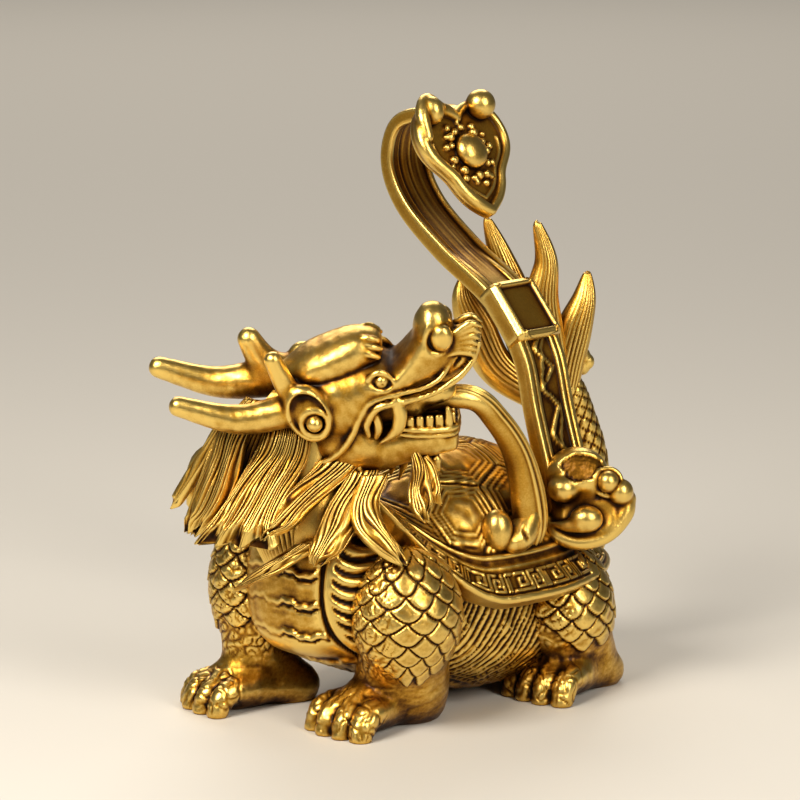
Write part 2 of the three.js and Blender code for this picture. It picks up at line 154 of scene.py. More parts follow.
def outward(skin):
    """The skin with its faces turned outwards."""
    if volume(skin) > 0:
        return skin
    points, quads, tris = skin
    return points, quads[:, ::-1], tris[:, ::-1]


def normals(skin):
    """Unit normal at each point: the sum of the crossed diagonals or edges of the faces around it."""
    points, quads, tris = skin
    total = np.zeros_like(points)
    for faces, a, b, c, d in ((quads, 0, 2, 1, 3), (tris, 0, 1, 0, 2)):
        if len(faces):
            n = np.cross(points[faces[:, b]] - points[faces[:, a]], points[faces[:, d]] - points[faces[:, c]])
            for corner in faces.T:
                for axis in range(3):
                    total[:, axis] += np.bincount(corner, n[:, axis], len(points))
    return unit(total)


def raised(skin, heights):
    """The skin with each point moved out along its normal by its height in mm."""
    points, quads, tris = skin
    return points + normals(skin) * heights[:, None], quads, tris


def relaxed(skin, points, rounds):
    """The points after each has moved halfway to the mean of its neighbours, so many times."""
    _, quads, tris = skin
    pairs = [(quads[:, i], quads[:, (i + 1) % 4]) for i in range(4)] + [(tris[:, i], tris[:, (i + 1) % 3]) for i in range(3)]
    a = np.concatenate([p[0] for p in pairs] + [p[1] for p in pairs])
    b = np.concatenate([p[1] for p in pairs] + [p[0] for p in pairs])
    many = np.maximum(np.bincount(a, minlength=len(points)), 1)
    for _ in range(rounds):
        mean = np.stack([np.bincount(a, points[b, axis], len(points)) / many for axis in range(3)], -1)
        points = 0.5 * (points + mean)
    return points


def frames(path, wide):
    """Across and through directions along a path: wide made square to the path, and the product of both."""
    tangent = unit(np.gradient(path, axis=0))
    wide = np.broadcast_to(np.asarray(wide, float), path.shape)
    across = unit(wide - (wide * tangent).sum(-1, keepdims=True) * tangent)
    return across, np.cross(tangent, across)


def swept(points, sizes, wide, outline, rows=80, cols=48):
    """A profile carried along a smooth path. The profile is outline(v, t) in half widths and half
    thicknesses, with v around it from 0 to 1 and t along the path from 0 to 1."""
    path = spline(points, rows)
    size = np.maximum(spline(sizes, rows), 0.02)
    across, through = frames(path, wide)
    t, v = np.meshgrid(np.linspace(0, 1, rows), np.arange(cols) / cols, indexing="ij")
    a, b = outline(v, t)
    return grid_skin(
        path[:, None]
        + across[:, None] * (a * size[:, :1])[..., None]
        + through[:, None] * (b * size[:, 1:])[..., None]
    )


# Volume modelling: a block of space holds a form as the distance to its skin

class Block:
    """A block of space with the distance to a form's skin at each of its grid points, below zero inside.
    In a mirrored block every form is made on both sides of y = 0."""

    def __init__(self, low, high, step, mirrored=False):
        self.low = np.array(low, float)
        self.step = step
        self.mirrored = mirrored
        self.shape = np.ceil((np.array(high) - self.low) / step).astype(int) + 1
        self.field = np.full(self.shape, 9.0, np.float32)

    def window(self, low, high, margin):
        """The part of the block around a form, and the places of its grid points."""
        low, high = np.array(low, float) - margin, np.array(high, float) + margin
        if self.mirrored:
            high[1] = max(abs(low[1]), abs(high[1]))
            low[1] = -high[1]
        a = np.clip(np.floor((low - self.low) / self.step).astype(int), 0, self.shape)
        b = np.clip(np.ceil((high - self.low) / self.step).astype(int) + 1, 0, self.shape)
        axes = [self.low[i] + self.step * np.arange(a[i], b[i]) for i in range(3)]
        places = np.stack(np.meshgrid(*axes, indexing="ij"), -1).astype(np.float32)
        if self.mirrored:
            places[..., 1] = np.abs(places[..., 1])
        return tuple(slice(*ends) for ends in zip(a, b)), places

    def join(self, form, soft=0.4):
        """Melts a form in: the lower of both distances, rounded where they differ by less than soft."""
        distance, low, high = form
        window, places = self.window(low, high, soft + 3 * self.step)
        self.field[window] = melted(self.field[window], distance(places), soft)
        return self

    def cut(self, form, soft=0.3):
        """Takes a form out: the higher of the block's distance and the form's distance turned round."""
        distance, low, high = form
        window, places = self.window(low, high, soft + 3 * self.step)
        self.field[window] = -melted(-self.field[window], distance(places), soft)
        return self

    def skin(self):
        """The surface where the distance is zero."""
        reach = 3 * self.step
        grid = openvdb.FloatGrid(reach)
        grid.copyFromArray(np.clip(self.field, -reach, reach).astype(np.float32))
        points, quads = grid.convertToQuads(isovalue=0)
        return outward((self.low + points * self.step, quads.astype(np.int64), np.zeros((0, 3), np.int64)))


def melted(a, b, soft):
    """Smooth lower of two fields: b + (a - b)h - soft h(1 - h), with h from 0 to 1 over their difference."""
    h = np.clip(0.5 + 0.5 * (b - a) / soft, 0, 1)
    return b + (a - b) * h - soft * h * (1 - h)


def egg(centre, radii, axes=np.eye(3)):
    """Ellipsoid: with k the length of p / r and g that of p / r^2, the distance is about k(k - 1) / g."""
    centre, radii, axes = (np.asarray(v, np.float32) for v in (centre, radii, axes))
    reach = np.abs(axes) @ radii

    def distance(p):
        q = ((p - centre) @ axes) / radii
        k = np.linalg.norm(q, axis=-1)
        return k * (k - 1) / np.maximum(np.linalg.norm(q / radii, axis=-1), 1e-6)

    return distance, centre - reach, centre + reach


def ball(centre, radius):
    return egg(centre, (radius,) * 3)


def rod(points, radii, count=14, thin=(0, 0, 1), flat=1.0):
    """Round rod along a smooth path, whose radius changes along it. Flat below 1 presses it along thin."""
    thin = np.asarray(thin, float) / np.linalg.norm(thin)
    path = spline(points, count)
    radius = spline([[r] for r in radii], count)[:, 0]
    press = (np.eye(3) + (1 / flat - 1) * np.outer(thin, thin)).astype(np.float32)
    bent = (path @ press).astype(np.float32)

    def distance(p):
        p = p @ press
        best = np.full(p.shape[:-1], 99, np.float32)
        for a, b, ra, rb in zip(bent[:-1], bent[1:], radius[:-1], radius[1:]):
            ab = b - a
            t = np.clip(((p - a) @ ab) / max(float(ab @ ab), 1e-9), 0, 1)
            best = np.minimum(best, np.linalg.norm(p - a - t[..., None] * ab, axis=-1) - (ra + (rb - ra) * t))
        return best * flat if flat < 1 else best

    widest = radius.max()
    return distance, path.min(0) - widest, path.max(0) + widest


def slab(low, high, round_off=0.2):
    """Box with rounded edges, from one corner to the other."""
    low, high = np.array(low, np.float32), np.array(high, np.float32)
    middle, half = (low + high) / 2, (high - low) / 2 - round_off

    def distance(p):
        q = np.abs(p - middle) - half
        outside = np.linalg.norm(np.maximum(q, 0), axis=-1)
        return outside + np.minimum(q.max(-1), 0) - round_off

    return distance, low, high


# Carved patterns: heights in mm over two measures of a surface, also in mm

def scales(u, v, width, pitch, proud, curve=1.5, stagger=0.5, until=None):
    """Overlapping scales in rows, tips further along v. Each lower edge runs from one row on at the scale's
    sides to two rows on at its middle, and of two scales that reach a point the upper one covers it. A scale
    rises towards its edge, and a groove follows every edge on both of its sides. Where until(u) is given,
    scales whose tips lie beyond it are left out."""
    row = np.floor(v / pitch)
    height = np.zeros_like(u)
    taken = np.zeros(u.shape, bool)
    edge = np.full(u.shape, 9.0)
    for back in (2, 1, 0):
        k = row - back
        across = u / width - stagger * (k % 2)
        middle = np.round(across)
        x = np.abs(2 * (across - middle))
        down = v / pitch - k
        gap = (2 - x**curve - down) * pitch / np.sqrt(1 + (curve * x ** (curve - 1) * 2 * pitch / width) ** 2)
        shown = True if until is None else (k + 1.6) * pitch < until((middle + stagger * (k % 2)) * width)
        edge = np.where(shown & (gap > -0.6), np.minimum(edge, np.abs(gap)), edge)
        inside = (gap >= 0) & ~taken
        height = np.where(inside & shown, proud * (0.5 + 0.25 * down - 0.15 * x**2), height)
        taken |= inside & shown
    return height * smooth_step(0.0, 0.34, edge)


def hexagons(u, v, pitch):
    """Distance of each point from the border of its cell in a honeycomb: half the difference of its
    distances to the two nearest centres, measured along the line between them."""
    rise = pitch * math.sqrt(3)
    near = np.full(u.shape, 1e9)
    second = np.full(u.shape, 1e9)
    centres = []
    for shift in (0, 0.5):
        i, j = np.round(u / pitch - shift), np.round(v / rise - shift)
        for di in (-1, 0, 1):
            for dj in (-1, 0, 1):
                centres.append(((i + di + shift) * pitch, (j + dj + shift) * rise))
    nearest = np.zeros(u.shape + (2,))
    for cx, cy in centres:
        d = (u - cx) ** 2 + (v - cy) ** 2
        closer = d < near
        near = np.where(closer, d, near)
        nearest = np.where(closer[..., None], np.stack([cx, cy], -1), nearest)
    border = np.full(u.shape, 1e9)
    for cx, cy in centres:
        gap = np.hypot(cx - nearest[..., 0], cy - nearest[..., 1])
        d = (u - cx) ** 2 + (v - cy) ** 2
        border = np.where(gap > 0.1, np.minimum(border, (d - near) / np.maximum(2 * gap, 0.1)), border)
    return border


def line(x, width, blur=0.12):
    """1 within half a width of x = 0 and 0 outside it, with a soft edge."""
    return 1 - smooth_step(width / 2 - blur, width / 2 + blur, np.abs(x))


def stroke(u, v, corners, width):
    """1 on a line drawn through the corners, and 0 off it, with a soft edge."""
    best = np.full(u.shape, 9.0)
    for (ax, ay), (bx, by) in zip(corners[:-1], corners[1:]):
        length = max((bx - ax) ** 2 + (by - ay) ** 2, 1e-9)
        t = np.clip(((u - ax) * (bx - ax) + (v - ay) * (by - ay)) / length, 0, 1)
        best = np.minimum(best, np.hypot(u - ax - t * (bx - ax), v - ay - t * (by - ay)))
    return line(best, width)


def grain(points, size, seed):
    """Gentle unevenness of hand work: a sum of twelve plane waves of about the given length, from -1 to 1."""
    rng = np.random.default_rng(seed)
    total = np.zeros(len(points))
    for _ in range(12):
        way = unit(rng.normal(size=3)) * 2 * math.pi / (size * rng.uniform(0.7, 1.4))
        total += np.sin(points @ way + rng.uniform(0, 6.28))
    return total / 6




def creases(points, size, depth, seed):
    """Thin creases between rounded facets: grooves where a gentle unevenness of the given size passes zero."""
    return -depth * np.maximum(line(grain(points, size, seed), 0.34, 0.16), 0.8 * line(grain(points, size * 0.7, seed + 1), 0.3, 0.14))
# Finish

def linear(hex_colour):
    """Linear red, green, blue and alpha of an sRGB hex colour."""
    values = [int(hex_colour[i:i + 2], 16) / 255 for i in (1, 3, 5)]
    return [v / 12.92 if v <= 0.04045 else ((v + 0.055) / 1.055) ** 2.4 for v in values] + [1]


def add(tree, kind, settings=None, **links):
    """Adds a node. Settings set its own values, and a link is a socket of another node or a fixed value."""
    node = tree.nodes.new(kind)
    for name, value in (settings or {}).items():
        setattr(node, name, value)
    for name, value in links.items():
        socket = node.inputs[int(name[1:])] if name[0] == "i" and name[1:].isdigit() else node.inputs[name.replace("_", " ")]
        if isinstance(value, bpy.types.NodeSocket):
            tree.links.new(value, socket)
        else:
            socket.default_value = value
    return node


def ramp(tree, factor, stops):
    """Colour ramp through (place, hex colour) stops."""
    node = add(tree, "ShaderNodeValToRGB", i0=factor)
    while len(node.color_ramp.elements) < len(stops):
        node.color_ramp.elements.new(0.5)
    for element, (place, colour) in zip(node.color_ramp.elements, stops):
        element.position = place
        element.color = linear(colour)
    return node.outputs[0]


def cast_brass():
    """Sand-cast brass under a satin gold lacquer, with the fine grit of the mould over all of it and a gentle random
    unevenness of tone from wear.
    Painted light is in its colour: paler on crests as a painted highlight mixed with wear, darker in grooves and
    hollows as painted shade, and darker still where an ambient occlusion node finds other surfaces close by, also
    painted shade."""
    material = bpy.data.materials.new("cast_brass")
    material.use_nodes = True
    tree = material.node_tree
    tree.nodes.clear()
    place = add(tree, "ShaderNodeTexCoord").outputs["Object"]
    # Painted shade and painted highlight: the per-point cavity measure darkens grooves and hollows and pales crests
    # through the colour ramp.
    cavity_shading = add(tree, "ShaderNodeAttribute", {"attribute_name": "cavity_shading"}).outputs["Fac"]
    worn = add(tree, "ShaderNodeTexNoise", Vector=place, Scale=1 / (6 * MM), Detail=4.0, Roughness=0.6).outputs["Fac"]
    grit = add(tree, "ShaderNodeTexNoise", Vector=place, Scale=1 / (0.36 * MM), Detail=3.0, Roughness=0.65).outputs["Fac"]
    uneven = add(tree, "ShaderNodeMapRange", Value=worn, From_Min=0.3, From_Max=0.7, To_Min=-0.05, To_Max=0.05).outputs[0]
    speck = add(tree, "ShaderNodeMapRange", Value=grit, From_Min=0.3, From_Max=0.7, To_Min=-0.05, To_Max=0.05).outputs[0]
    # Painted shade: an ambient occlusion measure darkens the colour where other surfaces lie close by.
    open_air = add(tree, "ShaderNodeAmbientOcclusion", {"samples": 6}, Distance=9 * MM).outputs["AO"]
    occlusion_shade = add(tree, "ShaderNodeMapRange", Value=open_air, From_Min=0.15, From_Max=0.75, To_Min=0.5, To_Max=-0.03).outputs[0]
    # depth adds the painted shade and painted highlight to random wear and mould grit; it sets both the colour and the
    # roughness.
    depth = add(tree, "ShaderNodeMath", {"operation": "ADD"}, i0=cavity_shading, i1=uneven).outputs[0]
    depth = add(tree, "ShaderNodeMath", {"operation": "ADD"}, i0=depth, i1=occlusion_shade).outputs[0]
    depth = add(tree, "ShaderNodeMath", {"operation": "ADD"}, i0=depth, i1=speck).outputs[0]
    colour = ramp(tree, depth, [(0.08, "#EECB6E"), (0.36, "#C0902F"), (0.54, "#8A5D15"), (0.74, "#472604"), (1.0, "#190B01")])
    rough = add(tree, "ShaderNodeMapRange", Value=depth, From_Min=0.2, From_Max=0.9, To_Min=0.3, To_Max=0.6).outputs[0]
    bump = add(tree, "ShaderNodeBump", Strength=0.45, Distance=0.1 * MM, Height=grit).outputs[0]
    shader = add(tree, "ShaderNodeBsdfPrincipled", Base_Color=colour, Metallic=1.0, Roughness=rough, Normal=bump,
                 Coat_Weight=0.15, Coat_Roughness=0.3)
    add(tree, "ShaderNodeOutputMaterial", Surface=shader.outputs[0])
    return material


def cavity_shading_of(skin, fine=6, broad=40):
    """How deep each point lies in its surroundings, from 0 on a crest to 1 in a groove, with 0.4 on the flat:
    the step inwards from the mean of its neighbours, taken close by and further out. The material turns it into painted
    shade, darker in grooves and broad hollows, and a painted highlight, paler on crests."""
    points = skin[0]
    n = normals(skin)
    near = relaxed(skin, points, fine)
    far = relaxed(skin, near, broad)
    close_step = ((near - points) * n).sum(-1)
    far_step = ((far - near) * n).sum(-1)
    return np.clip(0.4 + 5.0 * close_step + 1.1 * far_step, 0, 1)


def together(*skins):
    """Several skins as one, which keep their own faces."""
    starts = np.cumsum([0] + [len(s[0]) for s in skins])
    return (
        np.concatenate([s[0] for s in skins]),
        np.concatenate([s[1] + k for s, k in zip(skins, starts)]),
        np.concatenate([s[2] + k for s, k in zip(skins, starts)]),
    )


pieces = []


def piece(name, skin, material, cavity_shading=None):
    """Puts a skin into the scene as a smooth-shaded piece of the brass casting."""
    points, quads, tris = skin
    # The cavity measure kept on each point is painted shade and painted highlight for the material's colour.
    cavity_shading = cavity_shading_of(skin) if cavity_shading is None else cavity_shading
    mesh = bpy.data.meshes.new(name)
    mesh.vertices.add(len(points))
    mesh.vertices.foreach_set("co", ((points - ORIGIN) * MM).astype(np.float32).ravel())
    mesh.loops.add(4 * len(quads) + 3 * len(tris))
    mesh.loops.foreach_set("vertex_index", np.concatenate([quads.ravel(), tris.ravel()]).astype(np.int32))
    mesh.polygons.add(len(quads) + len(tris))
    starts = np.concatenate([4 * np.arange(len(quads)), 4 * len(quads) + 3 * np.arange(len(tris))])
    mesh.polygons.foreach_set("loop_start", starts.astype(np.int32))
    mesh.update(calc_edges=True)
    mesh.shade_smooth()
    mesh.attributes.new("cavity_shading", "FLOAT", "POINT").data.foreach_set("value", cavity_shading.astype(np.float32))
    mesh.materials.append(material)
    thing = bpy.data.objects.new(name, mesh)
    bpy.context.scene.collection.objects.link(thing)
    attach(thing, "root")
    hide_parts("dragon_turtle")
    pieces.append(thing)
    return thing


# Camera and studio

def camera():
    """Long lens, level with the turtle's head and to its front left."""
    target = (np.array([1.7, 1.7, 54.5]) - ORIGIN) * MM
    turn, rise, far = math.radians(-45), math.radians(11), 650 * MM
    way = Vector((math.cos(turn) * math.cos(rise), math.sin(turn) * math.cos(rise), math.sin(rise)))
    data = bpy.data.cameras.new("camera")
    data.sensor_width = 36
    data.lens = 168.6
    data.clip_start = 0.01
    thing = bpy.data.objects.new("camera", data)
    thing.location = Vector(target) + way * far
    thing.rotation_euler = way.to_track_quat("Z", "Y").to_euler()
    bpy.context.scene.collection.objects.link(thing)
    bpy.context.scene.camera = thing


def softbox(name, turn, rise, far, size, watts, colour="#FFF6E8"):
    """Square lamp that looks at the figurine from a turn, a rise and a distance in metres."""
    data = bpy.data.lights.new(name, "AREA")
    data.shape = "RECTANGLE"
    data.size, data.size_y = size
    data.energy = watts
    data.color = linear(colour)[:3]
    turn, rise = math.radians(turn), math.radians(rise)
    way = Vector((math.cos(turn) * math.cos(rise), math.sin(turn) * math.cos(rise), math.sin(rise)))
    thing = bpy.data.objects.new(name, data)
    thing.location = way * far + Vector((0, 0, 0.05))
    thing.rotation_euler = way.to_track_quat("Z", "Y").to_euler()
    bpy.context.scene.collection.objects.link(thing)


def studio():
    """Pale floor, two softboxes near the figurine, a wide one behind it, and a low, even surrounding light."""
    floor = bpy.data.meshes.new("floor")
    half = 3.0
    floor.from_pydata([(-half, -half, 0), (half, -half, 0), (half, half, 0), (-half, half, 0)], [], [(0, 1, 2, 3)])
    material = bpy.data.materials.new("pale_floor")
    material.use_nodes = True
    shader = material.node_tree.nodes["Principled BSDF"]
    shader.inputs["Base Color"].default_value = linear("#CFCCC6")
    shader.inputs["Roughness"].default_value = 0.6
    floor.materials.append(material)
    thing = bpy.data.objects.new("floor", floor)
    bpy.context.scene.collection.objects.link(thing)
    world = bpy.data.worlds.new("studio")
    world.use_nodes = True
    world.node_tree.nodes["Background"].inputs["Color"].default_value = linear("#CFCDC9")
    world.node_tree.nodes["Background"].inputs["Strength"].default_value = 0.15
    bpy.context.scene.world = world
    softbox("key", -85, 40, 0.55, (0.26, 0.26), 3.8)
    softbox("side", -5, 30, 0.6, (0.16, 0.4), 2.2)
    softbox("back", 140, 38, 1.8, (1.3, 0.9), 15)


# Shell

def rim_height(y):
    """Height of the rim along the body: level behind, climbing towards the neck."""
    ahead = np.maximum((SHELL_CENTRE_Y - y) / SHELL_HALF_LENGTH - COLLAR_START, 0)
    return RIM_HEIGHT + COLLAR_RISE * ahead**COLLAR_POWER


def shell_top(share, y):
    """Top of the shell at a share of the way from its middle to its rim: a dome, then a sloping band."""
    rim = rim_height(y)
    dome = 1 - BAND_SHARE
    band = rim + BAND_RISE * (1 - share) / BAND_SHARE
    return np.where(
        share > dome, band, rim + BAND_RISE + (DOME_HEIGHT - rim - BAND_RISE) * (1 - np.minimum(share / dome, 1) ** 2.4)
    )


FRET = [
    [(0.1, 0), (0.1, 3.4), (1.5, 3.4)],
    [(0.75, 0), (0.75, 2.5)],
    [(2.2, 3.4), (4.4, 3.4), (4.4, 0.9), (2.9, 0.9), (2.9, 2.3), (3.6, 2.3)],
    [(1.5, 0), (4.9, 0)],
    [(5.3, 0), (5.3, 3.4), (6.7, 3.4)],
    [(7.9, 3.4), (7.9, 0), (6.1, 0), (6.1, 2.4), (7.2, 2.4), (7.2, 1.1), (6.8, 1.1)],
]
FRET_TILE = 8.4
FRET_HEIGHT = 3.4


def shell():
    """Oval dome whose rim climbs at the neck. Rows run from its middle over the dome, the fret band and a
    rolled edge to its underside, and columns run around it."""
    turn = np.linspace(0, 2 * math.pi, 640, endpoint=False)
    top = np.concatenate([np.linspace(0.01, 0.8, 68), np.linspace(0.804, 0.97, 32)])
    roll = np.radians(np.linspace(25, 180, 9))
    share = np.concatenate([top, 0.977 + 0.023 * np.sin(roll), [0.93, 0.85, 0.7, 0.45]])
    s, a = np.meshgrid(share, turn, indexing="ij")
    x = s * SHELL_HALF_WIDTH * np.cos(a)
    y = SHELL_CENTRE_Y + s * SHELL_HALF_LENGTH * np.sin(a)
    z = shell_top(s, y)
    last = len(top)
    edge = rim_height(y)
    z[last:last + len(roll)] = edge[last:last + len(roll)] + 0.1 + 0.75 * np.cos(roll)[:, None]
    z[last + len(roll):] = edge[last + len(roll):] - RIM_THICKNESS
    places = np.stack([x, y, z], -1)
    skin = grid_skin(places)

    along = np.cumsum(np.linalg.norm(np.diff(places[:last + 1], axis=0, prepend=places[:1]), axis=-1), axis=0)[:last]
    u, v = along * np.cos(a[:last]) + 3.2, along * np.sin(a[:last]) - 2.2
    border = hexagons(v, u, PLATE_PITCH)
    lines = sum(line(border - at, 0.45, 0.2) * tall for at, tall in ((0.7, 0.17), (1.6, 0.17), (2.6, 0.14)))
    plates = lines - 0.25 * line(border, 0.3) + 0.2 * smooth_step(2.6, 4.5, border)
    height = np.zeros(places.shape[:2])
    collar = smooth_step(0, -8, y[:last])
    height[:last] += plates * (1 - smooth_step(0.775, 0.79, s[:last])) * (1 - collar * smooth_step(0.56, 0.64, s[:last]))
    height[:last] += 0.4 * line((s[:last] - 0.80) * 36, 0.45) + 0.25 * line((s[:last] - 0.835) * 36, 0.6, 0.3)
    height[:last] += 0.35 * collar * sum(line((s[:last] - at) * 36, 0.5, 0.2) for at in (0.66, 0.7, 0.74, 0.775))
    rim = places[np.searchsorted(share, 0.91)]
    around = np.cumsum(np.linalg.norm(np.diff(rim, axis=0, append=rim[:1]), axis=-1))
    tiles = round(around[-1] / FRET_TILE)
    fu = (around / around[-1] * tiles * FRET_TILE) % FRET_TILE
    fu = np.broadcast_to(fu, s[:last].shape)
    fv = (0.955 - s[:last]) / (0.955 - 0.872) * FRET_HEIGHT
    on_band = (s[:last] > 0.862) & (s[:last] < 0.963)
    fret = np.zeros(s[:last].shape)
    for corners in FRET:
        for shift in (0, FRET_TILE):
            fret = np.maximum(fret, stroke(fu + shift, fv, corners, FRET_STROKE))
    height[:last] += 0.42 * fret * on_band
    heights = np.concatenate([height.ravel(), [0, 0]])
    heights = heights + 0.06 * grain(skin[0], 2.5, 3)
    return raised(skin, heights)


# Body

TRUNK = [
    (-25.4, 3, 20, 25), (-25, 6, 16.5, 30), (-23.5, 10, 14, 35), (-18, 14, 11.5, 38), (-8, 17, 7.5, 38), (8, 19.5, 2.4, 30),
    (24, 20, 2, 28), (36, 16, 2, 27), (43, 10, 5, 24), (46, 4, 9, 20),
]
BAND_PITCH = 5.4


def rounded(turn, power):
    """Rounded outline: cosine and sine each raised to 2 / power, which is squarer for a higher power."""
    c, s = np.cos(turn), np.sin(turn)
    return np.sign(c) * np.abs(c) ** (2 / power), np.sign(s) * np.abs(s) ** (2 / power)


def trunk():
    """Rounded body along Y, drawn as level slices: each place is where a ray from the body's upright axis
    leaves it, found by halving a step 22 times, and the rays stand closer together at the chest and the
    rump. The chest has wavering lips of belly bands that end at an upright groove with a raised border, a
    column of lobes lies beside it, and strands of hair slant down the flanks."""
    along, half, low, high = spline(TRUNK, 120).T
    turn = np.linspace(0, 2 * math.pi, 520, endpoint=False)
    turn = np.arctan2(2 * np.sin(turn), np.cos(turn))
    z, a = np.meshgrid(np.linspace(2.2, 37.6, 94), turn, indexing="ij")
    far = np.zeros(z.shape)
    for step in 32.0 * 0.5 ** np.arange(22):
        y = 8 + (far + step) * np.sin(a)
        h, lo, hi = (np.interp(y, along, v) for v in (half, low, high))
        k = (np.abs((far + step) * np.cos(a)) / h) ** 2.6 + (np.abs(2 * z - lo - hi) / (hi - lo)) ** 2.6
        far += step * ((k < 1) & (y > along[0]) & (y < along[-1]))
    skin = grid_skin(np.stack([far * np.cos(a) - 0.5, 8 + far * np.sin(a), z], -1))
    p = skin[0]
    chest = smooth_step(-11, -15, p[:, 1])
    side = p[:, 0] - 8.6 - 1.6 * smooth_step(26, 12, p[:, 2])
    drop = (33.2 - p[:, 2] + 0.35 * np.sin(0.9 * p[:, 0]) + 0.15 * np.sin(2.6 * p[:, 0])) / BAND_PITCH
    step = drop - np.floor(drop)
    lip = 0.65 * line(step - 0.86, 0.16, 0.07) - 0.5 * line(step - 0.99, 0.1, 0.05) - 0.5 * line(step + 0.01, 0.1, 0.05)
    lip = lip * (0.12 + 0.88 * smooth_step(-2, 4, p[:, 0])) * smooth_step(-0.3, -0.9, side)
    border = 0.6 * line(side - 1.0, 1.1, 0.35) - 0.75 * line(side, 0.7, 0.3)
    beside = smooth_step(1.2, 2.0, side) * smooth_step(8.5, 7.6, side)
    drop = (36 - p[:, 2]) / 2.4 + 0.9 * ((side - 4) / 3) ** 2
    step = drop - np.floor(drop)
    lobes = 0.8 * smooth_step(0, 0.5, step) * smooth_step(1, 0.7, step)
    across = 0.86 * (p[:, 1] - np.abs(p[:, 0])) - 0.5 * p[:, 2] + 0.5 * grain(p, 8, 61)
    tuft = 0.5 + 0.5 * np.clip(2 * grain(p, 4, 62), -1, 1)
    hair = 0.2 * np.sin(across * 5.2) + 0.14 * np.sin(across * 8.3 + 1) * tuft + 0.3 * tuft
    heights = chest * (lip + border + lobes * beside) + (1 - chest) * hair
    inner = smooth_step(2.2, 3.4, p[:, 2])
    return raised(skin, inner * (heights + 0.06 * grain(p, 3, 5) + 0.02 * grain(p, 0.9, 6)))


# Legs

def leg(name):
    """Haunch, shin and a thick paw melted into one form. The paw's front is steep, with thin creases over its toes.
    Overlapping scales lie along a turn about the haunch and a drop from its top, and end above the paw, lowest on the
    outside."""
    plan = LEGS[name]
    haunch, radii, shin, heel, toes = (np.array(plan[k], float) for k in ("haunch", "radii", "shin", "heel", "toes"))
    back = heel - toes
    length = np.linalg.norm(back)
    back /= length
    outside = 1 if haunch[0] > 0 else -1
    thick = plan["thick"]

    def on(behind, aside, z):
        """A place on the paw: so far behind the toes' tips, so far to the outside, and so high."""
        aside = -aside * outside
        return (toes[0] + back[0] * behind - back[1] * aside, toes[1] + back[1] * behind + back[0] * aside, SOLE_LEVEL + z)

    low = np.minimum(haunch - radii, [min(heel[0], toes[0]) - 8, min(heel[1], toes[1]) - 6, 0]) - 1
    high = np.maximum(haunch + radii, [max(heel[0], toes[0]) + 8, max(heel[1], toes[1]) + 7, 0]) + 1
    block = Block((low[0], low[1], SOLE_LEVEL - 1), high, plan["step"])
    for toe in range(TOES):
        side = toe - (TOES - 1) / 2
        lag = 0.5 * side * side
        grow = 1 + 0.08 * math.sin(2.4 * toe + haunch[1])
        places = ((8.5, 0.86, 4.2), (5.6, 0.95, 4.1), (3.6, 1.0, 3.6), (2.4, 1.03, 2.4), (1.7, 1.05, 0.7))
        finger = [on(lag + behind, side * TOE_PITCH * wide, z) for behind, wide, z in places]
        block.join(rod(finger, np.array([1.8, 2.15, 2.2, 2.15, 1.9]) * grow, 20), 0.16)
    block.join(egg(haunch, radii - (0.4, 0.4, 0.4)), 0.5)
    ankle = (*((shin[:2] + heel) / 2), SOLE_LEVEL + 6)
    column = [(haunch[0], haunch[1], haunch[2] - 1), tuple(shin), ankle, (*heel, SOLE_LEVEL + 2.4)]
    block.join(rod(column, [8.2, thick, thick * 0.86, 4.7]), 2.5)
    block.join(rod([on(length + 0.3, 0, 2.6), on(length - 6, 0, 3.4), on(11, 0, 3.5), on(8.5, 0, 3.3)], [4.9, 5.4, 5.7, 5.6], flat=0.72), 1.3)
    block.join(rod([shin, on(length - 9, 0, 6.0), on(8.5, 0, 4.6)], [thick * 0.7, 4.4, 3.2], 20), 2.6)
    block.cut(slab((-90, -90, -40), (90, 90, SOLE_LEVEL), 0.01), 0.05)
    skin = block.skin()
    p = skin[0]
    outwards = math.atan2(haunch[1] * 0.2, haunch[0])
    angle = (np.arctan2(p[:, 1] - haunch[1], p[:, 0] - haunch[0]) - outwards + math.pi) % (2 * math.pi) - math.pi
    around = angle * 9.2

    def last_drop(u):
        """The drop at which scales end: lowest on the outside, and higher to the front and the back."""
        return 60 - SOLE_LEVEL - 7.5 - 7.5 * smooth_step(2.5, 13.5, np.abs(u + 1.5))

    drop = 60 - p[:, 2] + 0.35 * grain(p, 9, 72)
    heights = scales(around + 0.45 * grain(p, 10, 71), drop, SCALE_WIDTH, SCALE_PITCH, 0.62, curve=1.85, until=last_drop)
    off_ground = smooth_step(SOLE_LEVEL, SOLE_LEVEL + 1.0, p[:, 2])
    ahead = -((p[:, :2] - toes) @ back)
    on_toes = smooth_step(-8.5, -6.0, ahead) * smooth_step(SOLE_LEVEL + 8.5, SOLE_LEVEL + 7, p[:, 2])
    heights += off_ground * on_toes * creases(p, 4.6, 0.2, 31)
    rocky = smooth_step(7, 10, -around * outside) * smooth_step(SOLE_LEVEL + 8, SOLE_LEVEL + 12, p[:, 2])
    heights += rocky * creases(p, 2.6, 0.2, 41)
    heights += (0.06 * grain(p, 3.0, 7) + 0.02 * grain(p, 0.9, 8)) * off_ground
    return raised(skin, heights)
# Head, in its own frame: +x to the snout, +z to the crown. What is given at a positive y is made on both sides.

def body(rows, power=2.4):
    """Rounded body along x through upright sections, each (x, half width, low z, high z)."""
    x, half, low, high = spline(rows, 80).T

    def distance(p):
        at = p[..., 0]
        h, a, b = (np.interp(at, x, v).astype(np.float32) for v in (half, low, high))
        middle, tall = (a + b) / 2, (b - a) / 2
        k = ((np.abs(p[..., 1]) / h) ** power + (np.abs(p[..., 2] - middle) / tall) ** power) ** (1 / power)
        return np.maximum((k - 1) * np.minimum(h, tall), np.maximum(x[0] - at, at - x[-1]))

    return distance, np.array([x[0], -half.max(), low.min()]), np.array([x[-1], half.max(), high.max()])


